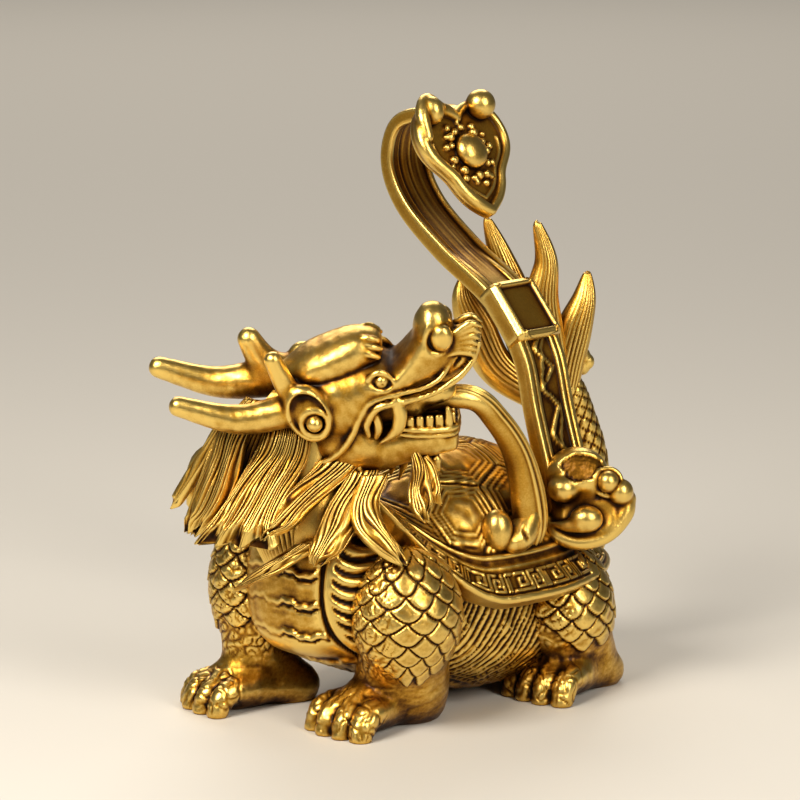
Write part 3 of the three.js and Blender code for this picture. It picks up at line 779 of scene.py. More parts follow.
SKULL = [
    (-19.6, 1.5, -1, 2), (-18.6, 4.5, -3.4, 4.4), (-15, 7, -6, 7), (-9, 7.6, -6, 9.0), (-4, 6.9, 0.8, 9.0), (-1.2, 6.3, 3.0, 8.4),
    (2, 5.6, 3.6, 12.6), (4.6, 5.0, 4.4, 16.6), (7.2, 4.0, 5.8, 16.6), (9.2, 2.9, 7.6, 13.6), (11, 1.9, 9, 12.2), (12.2, 1.1, 9.8, 11.8),
]
FOREHEAD = [
    (-20, 2.4, 2, 7.2), (-16.5, 4.8, 3, 10), (-13, 5.6, 4, 11.8), (-9, 5.2, 5.4, 13.5), (-6.2, 4.4, 7, 13.9), (-4, 3.2, 8.2, 13.4), (-3, 1.8, 9.6, 12.2),
]
JAW = [
    (-14.5, 3.5, -9, -2), (-13, 5.6, -10.8, 0), (-9, 6.7, -12.3, 0), (-4.2, 6.2, -12.4, -3.6), (1, 5.4, -10.8, -3.2),
    (6.4, 4.6, -9.3, -3.3), (9.2, 3.7, -8.8, -3.6), (10, 2.6, -8.0, -4.4),
]
UPPER_LIP = [
    (8.9, 2.2, 12.2), (8.3, 2.9, 9.3), (7.0, 4.1, 7.1), (4.4, 5.1, 5.6), (0.5, 6.1, 5.0), (-2.8, 6.7, 4.4), (-5.4, 7.1, 3.4),
    (-7.0, 7.5, 0.6), (-7.9, 7.5, -2.2), (-9.6, 7.3, -5.2), (-12.2, 6.8, -7.8), (-16.6, 6.2, -9.7),
]
LOWER_EDGE = [
    (13.3, 1.3, 12.0), (12.2, 2.2, 9.1), (9.9, 3.4, 6.6), (6.2, 4.8, 4.8), (1.4, 6.0, 3.6), (-2.8, 6.8, 3.0), (-4.6, 7.0, 1.6),
    (-5.6, 7.0, -0.8), (-5.2, 6.9, -3.0),
]


def head_skin():
    """The dragon's head, melted together from bodies, rods and eggs, and turned into its place."""
    block = Block((-45, -11.5, -14.5), (15.5, 11.5, 20.5), 0.29, mirrored=True)
    block.join(body(SKULL), 0.5)
    block.join(egg((5.4, 0, 14.2), (3.3, 3.9, 4.7)), 1.4)
    block.join(body(FOREHEAD, 2.2), 0.35)
    block.join(rod([(7.0, 0, 7.6), (10, 0, 9.6), (12.2, 0, 11.8)], [3.4, 2.6, 1.4]), 0.8)
    # Mouth: hollowed between the jaws, with the jaw melted in after it
    block.cut(egg((1.5, 3.2, 0.0), (8.2, 5.5, 3.4)), 0.6)
    block.join(body(JAW, 2.8), 0.4)
    block.join(rod([(-9, 0, -0.5), (2, 0, 0.2)], [4.0, 3.4]), 1.0)
    block.join(egg((4.5, 0, 2.2), (5, 3.2, 2.6)), 0.8)
    block.cut(egg((4.8, 0, -2.4), (6.5, 3.0, 1.8)), 0.4)
    # Cheek, from the ear to the corner of the mouth
    block.join(egg((-9.2, 4.6, 1.4), (5.4, 3.2, 4.6)), 1.6)
    block.join(egg((-9, 4.0, -6), (5, 3.4, 4.4)), 1.6)
    # Lips: two beads with a dark groove between them
    block.join(rod(UPPER_LIP, [0.4, 0.42, 0.42, 0.42, 0.42, 0.45, 0.55, 0.62, 0.62, 0.6, 0.55, 0.15], 44), 0.2)
    block.join(rod(LOWER_EDGE, [0.4, 0.5, 0.62, 0.7, 0.72, 0.7, 0.65, 0.6, 0.35], 34), 0.3)
    block.cut(rod([(9.9, 2.6, 9.6), (8.3, 3.9, 7.0), (5.2, 5.2, 5.1), (0.6, 6.4, 4.3), (-4, 7.3, 3.6)], [0.4, 0.45, 0.4, 0.35, 0.2], 24), 0.15)
    # Brow: the forehead's front curls into small folds
    for x, y, z in ((-4.3, 3.5, 10.9), (-4.0, 2.8, 12.1), (-4.4, 1.8, 13.2)):
        block.join(rod([(x - 1.8, y + 0.3, z + 0.5), (x - 0.6, y + 0.4, z + 0.2), (x + 0.7, y + 0.1, z - 0.4)], [0.2, 0.5, 0.45]), 0.4)
    # Eye with its lids
    block.cut(egg((-3.0, 6.6, 6.9), (1.9, 1.1, 1.3)), 0.4)
    block.join(ball((-3.1, 5.5, 7.0), 1.15), 0.1)
    block.join(rod([(-5.0, 6.0, 6.7), (-4.0, 6.4, 5.8), (-2.4, 6.3, 5.5), (-0.9, 5.9, 6.2)], [0.2, 0.3, 0.3, 0.15]), 0.3)
    block.join(rod([(-5.4, 5.8, 7.4), (-4.0, 5.8, 8.7), (-2.4, 5.6, 8.4), (-0.8, 5.7, 6.8)], [0.4, 0.55, 0.5, 0.2]), 0.35)
    block.cut(ball((-2.9, 6.65, 6.8), 0.38), 0.1)
    # Nostril in its socket
    block.cut(egg((6.5, 4.7, 14.0), (2.3, 1.4, 2.9)), 0.35)
    block.join(egg((6.9, 3.4, 14.1), (1.95, 1.6, 2.45)), 0.12)
    block.join(rod([(4.6, 3.4, 16.6), (4.0, 4.0, 14.2), (4.7, 4.2, 12.2), (6.6, 4.0, 11.3), (8.2, 3.4, 12.2)], [0.15, 0.3, 0.38, 0.35, 0.15]), 0.3)
    # Fan of fine strands at the end of the snout
    block.join(egg((10.2, 0, 12.4), (2.7, 1.6, 2.3)), 0.5)
    for i in range(6):
        high = 15.4 - 1.05 * i
        y = 0.9 + 0.22 * i
        places = [(7.4, y + 1.4, 12.9 - 0.45 * i), (9.8, y + 0.7, 0.35 * 12.9 + 0.65 * high), (11.9, y + 0.3, high + 0.35), (13.7 - 0.2 * i, y, high - 0.6)]
        block.join(rod(places, [0.4, 0.68, 0.6, 0.22]), 0.08)
    # Fang and the flesh around it
    block.join(rod([(-0.6, 6.1, 3.4), (0.0, 6.6, 0.8), (-0.8, 6.8, -2.2), (-3.4, 6.6, -4.6)], [1.2, 1.25, 0.95, 0.25]), 0.2)
    block.join(rod([(-4.2, 6.4, 1.2), (-3.6, 6.3, -1.6), (-4.0, 6.3, -3.6)], [0.6, 0.8, 0.4]), 0.3)
    # Teeth and the lower lip
    for i in range(4):
        x = 1.0 + 1.65 * i
        block.join(slab((x, 4.3 - 0.18 * i, -3.4), (x + 1.35, 5.4 - 0.3 * i, -0.4), 0.35), 0.1)
    block.join(rod([(8.2, 3.6, -3.2), (8.2, 3.4, -0.9), (8.0, 3.3, 0.4)], [0.8, 0.7, 0.4]), 0.15)
    for front in (0.7, 2.1):
        block.join(slab((8.3, front - 0.6, -3.4), (9.4, front + 0.6, -0.9), 0.35), 0.1)
    for drop, grow in ((0, 0.0), (1.0, 0.15)):
        block.join(rod([(-0.6, 5.9, -2.2 - drop), (3, 5.4 + grow, -2.7 - drop), (7, 4.6 + grow, -3.1 - drop), (9.4, 3.2 + grow, -3.3 - drop),
                        (10.0, 0.0, -3.4 - drop)], [0.3, 0.5, 0.5, 0.5, 0.5], 24), 0.2)
    # Ear: a cup with a ring and a ball in it
    lean = math.radians(22)
    ear_axes = np.array([(math.cos(lean), 0, -math.sin(lean)), (0, 1, 0), (math.sin(lean), 0, math.cos(lean))])
    block.join(egg((-15.3, 7.2, 1.8), (3.9, 2.9, 5.6), ear_axes), 0.35)
    block.cut(egg((-15.2, 9.9, 1.9), (3.3, 3.6, 5.0), ear_axes), 0.2)
    ring = [(-14.3 + 2.25 * math.cos(a), 8.1, 0.3 + 2.45 * math.sin(a)) for a in np.linspace(0, 2 * math.pi, 13)]
    block.join(rod(ring, [0.5] * 13, 36), 0.2)
    block.join(ball((-14.3, 8.3, 0.3), 1.4), 0.15)
    # Beard under the chin
    for x, lean, low in ((-3.2, -1.2, -14.0), (-1.2, -0.4, -13.2), (0.8, -1.0, -14.2), (2.8, 0.5, -12.8), (4.6, -0.9, -13.6), (6.2, 0.6, -12.2)):
        block.join(rod([(x, 3.4, -9.8), (x + lean * 0.3, 3.2, -11.4), (x + lean, 2.8, low)], [0.9, 0.62, 0.2]), 0.15)
    # Antlers: the far one stands further back and is thicker
    block.mirrored = False
    for side, behind, radii in ((-1, 0, [2.4, 2.95, 2.8, 2.45, 1.75]), (1, 4, [2.6, 3.3, 3.2, 2.6, 1.85])):
        y = side * 5
        beam = [(-11, y, 4.2), (-15, y * 1.05, 2.6), (-21 - behind, y * 1.13, 0.7), (-28 - behind, y * 1.25, 0), (-37 - behind, y * 1.3, 2.6)]
        block.join(rod(beam, radii, 30), 0.7)
    block.join(rod([(-17, -5.5, 2.2), (-19.4, -5.8, 6.8), (-21.2, -5.8, 11.2)], [2.0, 1.8, 1.5], 20), 0.9)
    block.join(rod([(-20, 5.5, 2.0), (-23.4, 5.8, 4.6), (-25.6, 5.8, 8.6)], [3.0, 2.6, 2.0], 20), 1.4)
    points, quads, tris = block.skin()
    turn, lean = math.radians(HEAD_TURN), math.radians(HEAD_LEAN)
    tilt = np.array([[1, 0, 0], [0, math.cos(lean), -math.sin(lean)], [0, math.sin(lean), math.cos(lean)]])
    swing = np.array([[math.cos(turn), -math.sin(turn), 0], [math.sin(turn), math.cos(turn), 0], [0, 0, 1]])
    skin = (points @ (swing @ tilt).T + HEAD_PLACE, quads, tris)
    return raised(skin, 0.04 * grain(skin[0], 2.2, 11))


# Mane: locks around the neck. Each is a path of (turn about the neck, radius, height, half width as a turn),
# from its root to its tip, and a later lock lies over the ones before it

LEFT_LOCKS = [
    [(226, 9, 56.5, 18), (224, 13.4, 52.5, 17), (222, 15.9, 47.8, 14), (220, 18.9, 43.2, 11), (219, 21.1, 39.8, 7), (218, 21.9, 38.2, 1.5)],
    [(250, 9, 57.5, 26), (246, 12.6, 52.5, 24), (248, 15, 47.3, 23), (248, 16.8, 42.5, 21), (246, 18.3, 38.2, 18), (242, 19.4, 34.6, 10)],
    [(300, 9, 56, 20), (302, 13.8, 51.5, 18), (299, 16.5, 46.7, 18), (292, 18.6, 42.1, 17), (284, 20.4, 37.5, 19), (277, 21.6, 33.8, 25)],
    [(319, 14, 34, 10), (304, 14.6, 31.6, 10), (290, 15.2, 29.4, 9), (278, 15.8, 27.4, 5), (270, 16.2, 25.4, 1)],
    [(351, 20.6, 45.3, 8), (345, 20.7, 40.8, 8), (346, 22.3, 37, 8), (349, 25.7, 33.6, 6), (350, 28.2, 31.6, 1.2)],
    [(363, 14, 45.6, 16), (343, 16.3, 40.5, 14), (333, 18.6, 36.3, 11), (326, 20.2, 33.2, 8), (320, 21, 31.3, 2.5)],
    [(343, 13.5, 47.4, 18), (323, 16.5, 43.5, 13), (311, 20, 40.1, 9), (304, 22, 37.3, 6), (298, 23, 35.5, 1)],
    [(30, 19, 48.5, 6), (19, 21.6, 45.6, 7), (8, 24.2, 42.4, 7.5), (3, 26.6, 39.8, 5.5), (0, 28.4, 38, 1.2)],
    [(33, 20.5, 47.5, 5), (26, 22.4, 45.6, 5.5), (18, 24.4, 43.4, 5), (13, 26, 41.6, 3.5), (10, 27.2, 40.4, 1)],
]
RIGHT_LOCKS = [(20, 11, 38), (52, 10.5, 43), (82, 13, 43), (112, 17, 41), (142, 20, 39), (170, 20.5, 37), (196, 21, 36.5)]
FAR_FLATNESS = 0.5
LOW_FLATNESS = 0.55
HIGH_FLATNESS = 0.2


def around_neck(turn, radius, z):
    """A place around the mane's axis. The mane is flatter across the head than along it, and flattest on the
    near side high up, where the jaw and the cheek lie over it."""
    a = np.radians(turn - HEAD_TURN)
    near = HIGH_FLATNESS + (LOW_FLATNESS - HIGH_FLATNESS) * smooth_step(49, 30, z)
    flat = np.where(np.sin(a) > 0, FAR_FLATNESS, near)
    along, across = radius * np.cos(a), radius * np.sin(a) * flat
    c, s = math.cos(math.radians(HEAD_TURN)), math.sin(math.radians(HEAD_TURN))
    return np.stack(np.broadcast_arrays(MANE_AXIS[0] + c * along - s * across, MANE_AXIS[1] + s * along + c * across, z), -1)


def strands(a, t, count, rng):
    """Height of hair laid side by side, from 0 in a groove to 1: strands of uneven width across a from -1 to
    1, with narrow grooves between them that waver along t and vary in depth."""
    widths = np.cumsum(np.concatenate([[0], rng.uniform(0.4, 1.6, count)]))
    edges = 2 * widths / widths[-1] - 1
    wave = 0.5 * np.sin(5 * t + rng.uniform(0, 6)) * np.sin(5 * a + rng.uniform(0, 6)) + 0.25 * np.sin(11 * t + 3 * a + rng.uniform(0, 6))
    at = np.interp(a, edges, np.arange(count + 1)) + wave
    depth = rng.uniform(0.55, 1.0, count + 3)[np.clip(np.round(at).astype(int) + 1, 0, count + 2)]
    beside = np.abs(2 * (at % 1) - 1)
    return 1 - depth * smooth_step(0.35, 1, beside)


def lock(path, seed, pitch=STRAND_PITCH, fine=8, rows=50):
    """One lock: a strip along its path, thickest along its middle, whose end is drawn out into several points
    and turns up a little. Strands run along it."""
    rng = np.random.default_rng(seed)
    table = spline(path, 160)
    at = np.linspace(0, 1, len(table))
    t = np.linspace(0, 1, rows)[:, None]
    widest = (np.radians(table[:, 3]) * table[:, 1]).max() * 0.85
    count = max(5, round(2 * widest / pitch))
    points = rng.uniform(0, 1)
    thick = np.clip(0.36 * widest, 1.2, 2.4)

    def sheet(a):
        """Places and outward normals of the strip at the given shares across it."""
        ends = 0.5 - 0.5 * np.cos(2 * math.pi * (a * widest / 4.2 + points))
        s = t * (1 - 0.09 * ends * smooth_step(0.3, 1, t))
        turn, radius, z, half = (np.interp(s, at, table[:, k]) for k in range(4))
        curl = 0.1 * np.sin(5.5 * t + 6 * points) * smooth_step(0.1, 0.5, t)
        base = around_neck(turn + (a + curl) * half, radius + 1.2 * np.maximum((s - 0.8) / 0.2, 0) ** 2, z)
        return base, unit(np.cross(np.gradient(base, axis=1), np.gradient(base, axis=0)))

    over, under = np.linspace(-1, 1, count * fine)[None], np.linspace(-0.9, 0.9, 9)[None]
    top, up = sheet(over)
    bottom, down = sheet(under)
    body = thick * np.interp(t, [0, 0.2, 0.6, 0.9, 1], [0.7, 1, 1, 0.75, 0.15])
    edge = np.sqrt(np.maximum(1 - over**2, 0))
    bundle = 0.5 + 0.5 * np.sin(math.pi * (over * widest / 1.7 + points + 0.5 * np.sin(4 * t + 9 * points)))
    hair = (0.45 * strands(over, t, count, rng) + 0.6 * bundle * smooth_step(0.1, 0.5, t)) * edge**0.4 * np.interp(t, [0, 0.93, 1], [1, 0.9, 0.2])
    sign = 1 if (up * (top - around_neck(0, 0, 40.0))).sum() > 0 else -1
    top = top + sign * up * (body * edge + hair)[..., None]
    bottom = bottom - sign * down * (0.4 * body * np.sqrt(1 - under**2))[..., None]
    return grid_skin(np.concatenate([top, bottom[:, ::-1]], 1))


def bell():
    """What lies under the locks: a grooved bell about the mane's axis, narrower where the shell's collar is."""
    turn = np.linspace(0, 360, 300, endpoint=False)[None]
    profile = spline([(59, 5), (55, 8), (50, 11), (45, 13), (41, 13.6), (38, 12), (35, 9.5), (31, 7.5), (28, 6)], 28)
    z, radius = profile[:, :1], profile[:, 1:]
    narrow = 1 - 0.45 * smooth_step(-0.2, 0.8, np.cos(np.radians(turn - HEAD_TURN)))
    groove = 0.5 * np.abs(np.sin(math.pi * turn / 6))
    return grid_skin(around_neck(turn, radius * narrow + groove, z))


def mane():
    """A bell, the locks that hang over it, and a core that joins it to the trunk."""
    skins = [lock(path, 20 + i) for i, path in enumerate(LEFT_LOCKS)]
    for i, (turn, reach, low) in enumerate(RIGHT_LOCKS):
        path = [(turn, 8, 55, 19), (turn, 11, 50.5, 18), (turn, reach * 0.9, 46, 15), (turn, reach, low + 2, 8), (turn, reach + 1, low, 1.5)]
        skins.append(lock(path, 40 + i, pitch=1.1, fine=6, rows=32))
    core = swept([(0, -12, 26), (0, -17, 36), (0.5, -18.5, 44), (1.5, -17.5, 51), (5, -13.5, 56)],
                 [(9, 10), (9, 9), (5.5, 5.5), (4, 5), (3.6, 4.4)], (1, 0, 0), lambda v, t: rounded(2 * math.pi * v, 2), 30, 48)
    return together(core, bell(), *skins)


# Breath

def breath():
    """The roll that the dragon breathes out: it arches to the shell, flattens as it lands, and carries two thin
    ridges along its outer edge."""

    def outline(v, t):
        a, b = rounded(2 * math.pi * v, 2.2)
        turn = (v - 0.5) * 360
        ridge = sum(line(turn - at, 10, 4) for at in (-137, -115, -92))
        return a * (1 + 0.15 * ridge), b * (1 + 0.15 * ridge)

    path = [(12.5, -9, 56), (14, -7, 57), (20, 0.2, 57.6), (21, 5.6, 53.2), (20.9, 10.8, 46.5), (20.2, 14.4, 37.6), (19.5, 15.4, 31.5), (18.2, 14, 27.5)]
    sizes = [(1.5, 1.5), (1.8, 1.8), (2, 1.8), (2.1, 2), (2.4, 2.2), (3.2, 2.4), (3.1, 2.2), (1.2, 1.2)]
    roll = swept(path, sizes, (0, 1, 0.6), outline, 90, 110)
    block = Block((14, 3, 26), (24, 20, 42), 0.25)
    block.join(rod([(20.6, 13.6, 39), (20.4, 14.4, 34.6), (20.7, 12.2, 31.8), (20.5, 10.0, 31.0)], [1.2, 2.3, 2.6, 2.1]), 0.3)
    block.join(egg((19.2, 7.9, 33), (2.75, 2.75, 3.85)), 0.15)
    block.cut(rod([(22.0, 12.4, 35.4), (22.6, 11.0, 33.2), (23.3, 11.4, 31.6)], [0.2, 0.35, 0.3]), 0.2)
    return together(roll, block.skin())


# Sceptre

STEM = [
    (17.5, 30), (16.8, 38), (13, 51), (10, 61), (3, 69.5), (-9.5, 77), (-19, 84.5), (-22.8, 92), (-20.8, 99), (-14, 101), (-9.9, 98.6),
]


def stem():
    """Flat bar bent in an S across the body. Its face has a double border; a zigzag of leaves fills the face
    below the plaque, and lengthwise grooves fill it above and inside the hook."""

    def outline(v, t):
        edge = np.array([(-1, 0.8), (-1, -0.5), (-0.96, -0.92), (-0.82, -1.0), (-0.72, -0.82), (-0.66, -0.94), (-0.54, -0.9),
                         (-0.48, -0.62), (0.48, -0.62), (0.54, -0.9), (0.66, -0.94), (0.72, -0.82), (0.82, -1.0), (0.96, -0.92),
                         (1, -0.5), (1, 0.8), (0.9, 1.0), (-0.9, 1.0)])
        closed = np.concatenate([edge, edge[:1]])
        run = np.concatenate([[0], np.cumsum(np.linalg.norm(np.diff(closed, axis=0), axis=1))])
        at = v * run[-1]
        a, b = np.interp(at, run, closed[:, 0]), np.interp(at, run, closed[:, 1])
        inside = (np.abs(a) < 0.5) & (b < 0)
        swing = 0.34 * (np.abs((t * 30) % 2 - 1) * 2 - 1) * (1 + 0.25 * np.sin(t * 61))
        zigzag = line(swing - a, 0.15, 0.06) + 0.6 * line(swing * 0.4 + 0.3 * np.sin(t * 43) - a, 0.1, 0.05)
        streaks = 0.5 * np.sin(a * 21 + 2 * np.sin(t * 9)) + 0.5 * np.sin(a * 37 + 3 * np.sin(t * 5))
        lower = smooth_step(0.02, 0.06, t) * (1 - smooth_step(0.33, 0.36, t))
        trough = (np.abs(a) < 0.8) & (b < -0.6) & ~inside
        b = b + trough * smooth_step(0.43, 0.5, t) * (-0.5 - b)
        b = b - inside * (0.32 * np.clip(zigzag, 0, 1) * lower + (0.05 * streaks - 0.12) * smooth_step(0.42, 0.5, t))
        return a, b

    level = [(x, RUYI_Y, z) for x, z in STEM]
    size = [(5.2, 1.9), (5.2, 1.8), (5.2, 1.6), (5.2, 1.6), (5.2, 1.6), (5.2, 1.6), (5.2, 1.5), (5.1, 1.4), (4.8, 1.3), (4.2, 1.3), (3.2, 0.9)]
    bar = swept(level, size, (0, 1, 0), outline, 200, 96)

    def plaque_outline(v, t):
        edge = np.array([(-1, 0.7), (-1, -0.6), (-0.84, -1), (-0.76, -1), (-0.68, -0.72), (0.68, -0.72), (0.76, -1), (0.84, -1), (1, -0.6), (1, 0.7)])
        closed = np.concatenate([edge, edge[:1]])
        run = np.concatenate([[0], np.cumsum(np.linalg.norm(np.diff(closed, axis=0), axis=1))])
        a, b = np.interp(v * run[-1], run, closed[:, 0]), np.interp(v * run[-1], run, closed[:, 1])
        end = np.abs(t - 0.5) * 2
        slope = 1 - 0.22 * smooth_step(0.86, 1, end)
        rim = 0.28 * smooth_step(0.76, 0.84, end) * ((b < -0.65) & (np.abs(a) < 0.74))
        return a * (1 - 0.06 * smooth_step(0.9, 1, end)), np.where(b < 0, b * slope - rim, b)

    plaque = swept([(9.9, RUYI_Y, 62.8), (6.1, RUYI_Y, 67.2), (2.3, RUYI_Y, 71.5)], [(5.5, 2.5)] * 3, (0, 1, 0), plaque_outline, 70, 90)
    return together(bar, plaque)


def cloud(width, length, count=14):
    """The ruyi head's outline: two curls above, flanks drawn in, and a point below, as cubic curves whose
    control points run from the notch above to the point below."""
    top = length / 2

    def flank(w):
        return np.array([(0, top * 0.76), (w * 0.25, top * 1.06), (w * 0.9, top * 1.08), (w, top * 0.42), (w * 1.04, -top * 0.02),
                         (w * 0.68, -top * 0.12), (w * 0.56, -top * 0.42), (w * 0.44, -top * 0.74), (w * 0.2, -top * 0.9), (0, -top)])

    t = np.linspace(0, 1, count, endpoint=False)[:, None]
    stretches = []
    for line_ in (flank(width), flank(-width)[::-1]):
        for i in (0, 3, 6):
            a, b, c, d = line_[i:i + 4]
            stretches.append((1 - t) ** 3 * a + 3 * (1 - t) ** 2 * t * b + 3 * (1 - t) * t**2 * c + t**3 * d)
    return np.concatenate(stretches)


def plate(outline, low, high, round_off=0.3):
    """Flat plate with rounded edges: the distance to its outline, joined to the distance to its two faces."""
    ring = np.concatenate([outline, outline[:1]]).astype(np.float32)

    def distance(p):
        best = np.full(p.shape[:2], 99, np.float32)
        inside = np.zeros(p.shape[:2], bool)
        x, y = p[:, :, 0, 0], p[:, :, 0, 1]
        for (ax, ay), (bx, by) in zip(ring[:-1], ring[1:]):
            t = np.clip(((x - ax) * (bx - ax) + (y - ay) * (by - ay)) / max((bx - ax) ** 2 + (by - ay) ** 2, 1e-9), 0, 1)
            best = np.minimum(best, np.hypot(x - ax - t * (bx - ax), y - ay - t * (by - ay)))
            if ay != by:
                inside ^= ((ay > y) != (by > y)) & (x < (bx - ax) * (y - ay) / (by - ay) + ax)
        flat = np.where(inside, -best, best)[:, :, None] + round_off
        tall = np.abs(p[..., 2] - (low + high) / 2) - (high - low) / 2 + round_off
        return np.hypot(np.maximum(flat, 0), np.maximum(tall, 0)) + np.minimum(np.maximum(flat, tall), 0) - round_off

    corners = ring.min(0), ring.max(0)
    return distance, np.array([*corners[0], low]), np.array([*corners[1], high])


def crown():
    """The ruyi's head in its own frame, face towards +z: a dished plate with a rolled edge, a line inside the
    edge below the curls, a knob on each curl, and a flower of beads around a dome."""
    w, l = CROWN_HALF_WIDTH, CROWN_LENGTH
    block = Block((-w - 1.5, -l / 2 - 1.5, -CROWN_THICKNESS - 1), (w + 1.5, l / 2 + 2.5, 4.5), 0.24)
    block.join(plate(cloud(w, l), -CROWN_THICKNESS, -0.9, 0.6), 0.1)
    edge = cloud(w - 0.9, l - 2.0)
    ring = np.column_stack([edge, np.full(len(edge), -0.9)])
    thick = [0.85 + 0.45 * float(smooth_step(2, -3, x)) for x, _ in edge]
    block.join(rod(list(ring) + [ring[0]], thick + thick[:1], 160), 0.3)
    block.join(rod([(-w * 0.86, l * 0.2, 0), (-w * 0.82, l * 0.38, 0.2), (-w * 0.6, l * 0.5, 0.1), (-w * 0.36, l * 0.44, 0)], [1.0, 1.3, 1.3, 1.0]), 0.4)
    inner = cloud(w - 2.9, l - 7.0)
    inner = inner[inner[:, 1] < l * 0.16]
    block.join(rod(np.column_stack([inner, np.full(len(inner), -0.85)]), [0.28] * len(inner), 120), 0.3)
    block.join(egg((-w * 0.6, l * 0.41, 0.4), (2.1, 2.6, 2.3)), 0.25)
    block.join(ball((w * 0.52, l * 0.41, 0.6), 2.7), 0.25)
    block.join(egg((0, 1.0, -0.2), (3.3, 3.3, 2.1)), 0.15)
    for i in range(13):
        a = 2 * math.pi * (i + 0.25 * math.sin(5 * i)) / 13
        for far, size in ((4.3 + 0.25 * math.sin(3 * i), 0.75 + 0.12 * math.sin(4 * i)), (5.4 + 0.3 * math.sin(2 * i), 0.58 + 0.12 * math.cos(3 * i))):
            b = a + 0.12 * (far - 4.3)
            block.join(ball((far * math.cos(b), 0.9 + 1.1 * far * math.sin(b), -0.75), size), 0.15)
    points, quads, tris = block.skin()
    lean = math.radians(CROWN_LEAN)
    axes = np.array([(0, 1, 0), (-math.sin(lean), 0, math.cos(lean)), (math.cos(lean), 0, math.sin(lean))])
    return points @ axes + (CROWN_CENTRE[0], RUYI_Y, CROWN_CENTRE[1]), quads, tris


def stem_foot():
    """The cloud at the sceptre's foot: a dome, balls in its curls and a bowl below them, placed by steps to
    the right, upwards and forwards of its middle. A rough patch is broken out of the dome; where it lies is
    the second thing given back."""
    right, up, out = np.array([(0.707, 0.707, 0), (-0.135, 0.135, 0.982), (0.694, -0.694, 0.19)])

    def at(r, u, t):
        return np.array([22, 25, 37]) + r * right + u * up + t * out

    axes = np.stack([right, up, out], 1)
    block = Block((8, 12, 25), (30.5, 38.5, 48), 0.27)
    block.join(egg(at(0, 0.5, -3), (5.4, 7.8, 3.8), axes), 0.3)
    block.join(egg(at(0.2, 3.4, -2), (5.7, 5.2, 4.4), axes), 0.5)
    block.join(egg(at(6, -1.5, -3), (4.4, 4.2, 3.2), axes), 0.6)
    block.join(egg(at(2, -4.4, -2.2), (7, 4.4, 3.8), axes), 0.6)
    block.cut(egg(at(2.6, -2.8, 2.8), (6.2, 4.2, 2.8), axes), 0.5)
    bowl = [at(8.7, -0.6, -1.6), at(8.3, -3.4, -1.2), at(5.2, -7.0, -0.3), at(0.4, -8.2, 0.2), at(-3.6, -6.8, 0), at(-5.2, -3.6, -0.8)]
    block.join(rod(bowl, [1.9, 1.7, 1.35, 1.3, 1.2, 0.5], 30), 0.5)
    block.join(ball(at(7.7, 0.7, -0.4), 2.35), 0.35)
    block.cut(rod([at(5.6, -1.4, 1.2), at(8.0, -2.3, 1.4), at(10.4, -2.2, 0.2)], [0.25, 0.35, 0.3]), 0.15)
    block.join(egg(at(-2.4, 1.2, 0.8), (2.7, 2.4, 2.5), axes), 0.7)
    ring = [at(5.5 + 2.4 * math.cos(a), 2.4 + 2.4 * math.sin(a), 0.4) for a in np.linspace(0, 2 * math.pi, 13)]
    block.join(rod(ring, [0.45] * 13, 36), 0.25)
    block.join(ball(at(5.5, 2.5, 0.8), 1.95), 0.15)
    block.join(egg(at(1.7, -4.0, 1.4), (2.9, 2.4, 2.5), axes), 0.3)
    block.join(rod([at(0.6, -4.8, 1.8), at(-2, -5.2, 1.0), at(-4.6, -4.9, 0.2)], [1.6, 1.0, 0.3]), 0.4)
    skin = block.skin()
    p = skin[0]
    r, u, t = ((p - at(0, 0, 0)) @ axes).T
    spot = np.hypot((r - 1.1) / 3.9, (u - 5.1) / 2.5) + 0.13 * grain(p, 2.6, 52)
    clear = smooth_step(2.7, 2.9, np.linalg.norm(p - at(5.5, 2.5, 0.8), axis=-1))
    broken = smooth_step(1.04, 0.96, spot) * smooth_step(-0.8, -0.2, t) * clear
    return raised(skin, (0.09 * grain(p, 1.0, 51) - 0.5) * broken), broken


# Tail

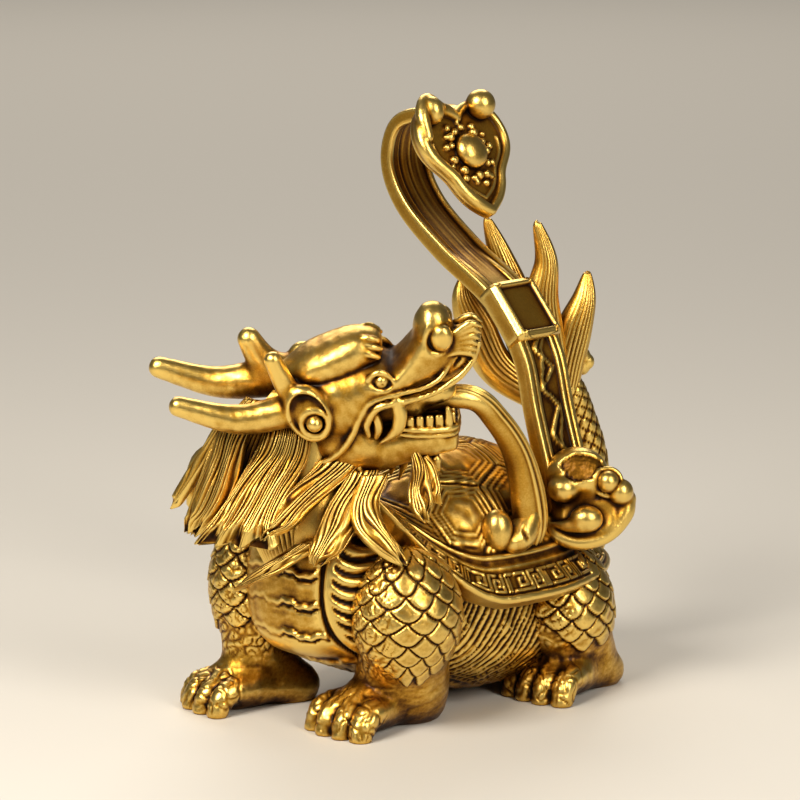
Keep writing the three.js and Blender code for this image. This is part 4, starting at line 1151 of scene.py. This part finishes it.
def tail():
    """A scaly stem behind the shell and a fan of grooved flames."""

    def stem_outline(v, t):
        a, b = rounded(2 * math.pi * v, 2)
        proud = 1 + 0.1 * scales(v * 24, t * 40, 3, 1.3, 1)
        return a * proud, b * proud

    def flame_outline(v, t):
        a, b = rounded(2 * math.pi * v, 2.2)
        return a, b * (0.95 + 0.055 * np.cos(a * 26 + 5 * a * a + 2 * t + np.sin(9 * t)) * smooth_step(0.98, 0.8, t) * smooth_step(-0.8, 0.2, a))

    skins = [swept([(2, 40, 14), (2.6, 48.5, 24), (2.2, 50.2, 36), (1.4, 47.6, 45), (1.0, 44.6, 51.5), (0.8, 43, 55)], [(5, 5), (4.2, 4.2), (3.4, 3.4), (3.3, 3.1), (3, 2.4), (0.3, 0.3)],
                   (1, 1, 0), stem_outline, 90, 100)]
    base = (1, 43.5, 47)
    for bend, middle, neck, tip, width in (
        ((-7, 36, 54), (-10.4, 33.2, 62), (-12, 31.8, 67), (-12.2, 31.6, 70.5), 3.4),
        ((-3.6, 39.6, 58), (-5.4, 38.2, 67), (-7.6, 36.6, 75), (-9.5, 35.4, 81), 3.3),
        ((0.2, 41.8, 57), (-0.6, 40.2, 67), (-0.3, 40.9, 74.4), (-1.5, 40.0, 80.6), 3.1),
        ((1.3, 44.6, 55), (2.0, 46.0, 61.5), (2.9, 47.6, 67), (2.9, 48.4, 71.2), 3.3),
    ):
        sizes = [(2.4, 2), (width, 2.6), (width, 2.5), (width * 0.68, 1.9), (0.95, 0.9), (0.1, 0.1)]
        skins.append(swept([base, bend, middle, neck, tip, (tip[0], tip[1], tip[2] + 0.9)], sizes, (1, 1, 0), flame_outline, 66, 88))
    block = Block((-1, 43, 51), (7.5, 52, 60), 0.3)
    for x, y, z, size in ((1.6, 45.6, 58.2, 1.0), (2.5, 46.6, 57.4, 1.15), (3.2, 47.5, 56.6, 1.15), (3.6, 48.2, 55.5, 1.1), (2.6, 47.6, 55.0, 1.6)):
        block.join(egg((x, y, z), (size, size, size * 1.3)), 0.2)
    return together(*skins, block.skin())


camera()
studio()
bpy.context.scene.view_settings.view_transform = "Standard"
brass = cast_brass()
piece("shell", shell(), brass)
piece("body", trunk(), brass)
for name in LEGS:
    piece("leg_" + name, leg(name), brass)
piece("head", head_skin(), brass)
piece("mane", mane(), brass)
piece("breath", breath(), brass)
piece("sceptre_stem", stem(), brass)
piece("sceptre_head", crown(), brass)
foot, broken = stem_foot()
# The foot's cavity measure (painted shade) is deepened over the broken patch, which has its own darker colour.
piece("sceptre_foot", foot, brass, np.maximum(cavity_shading_of(foot), 0.6 * broken))
piece("tail", tail(), brass)
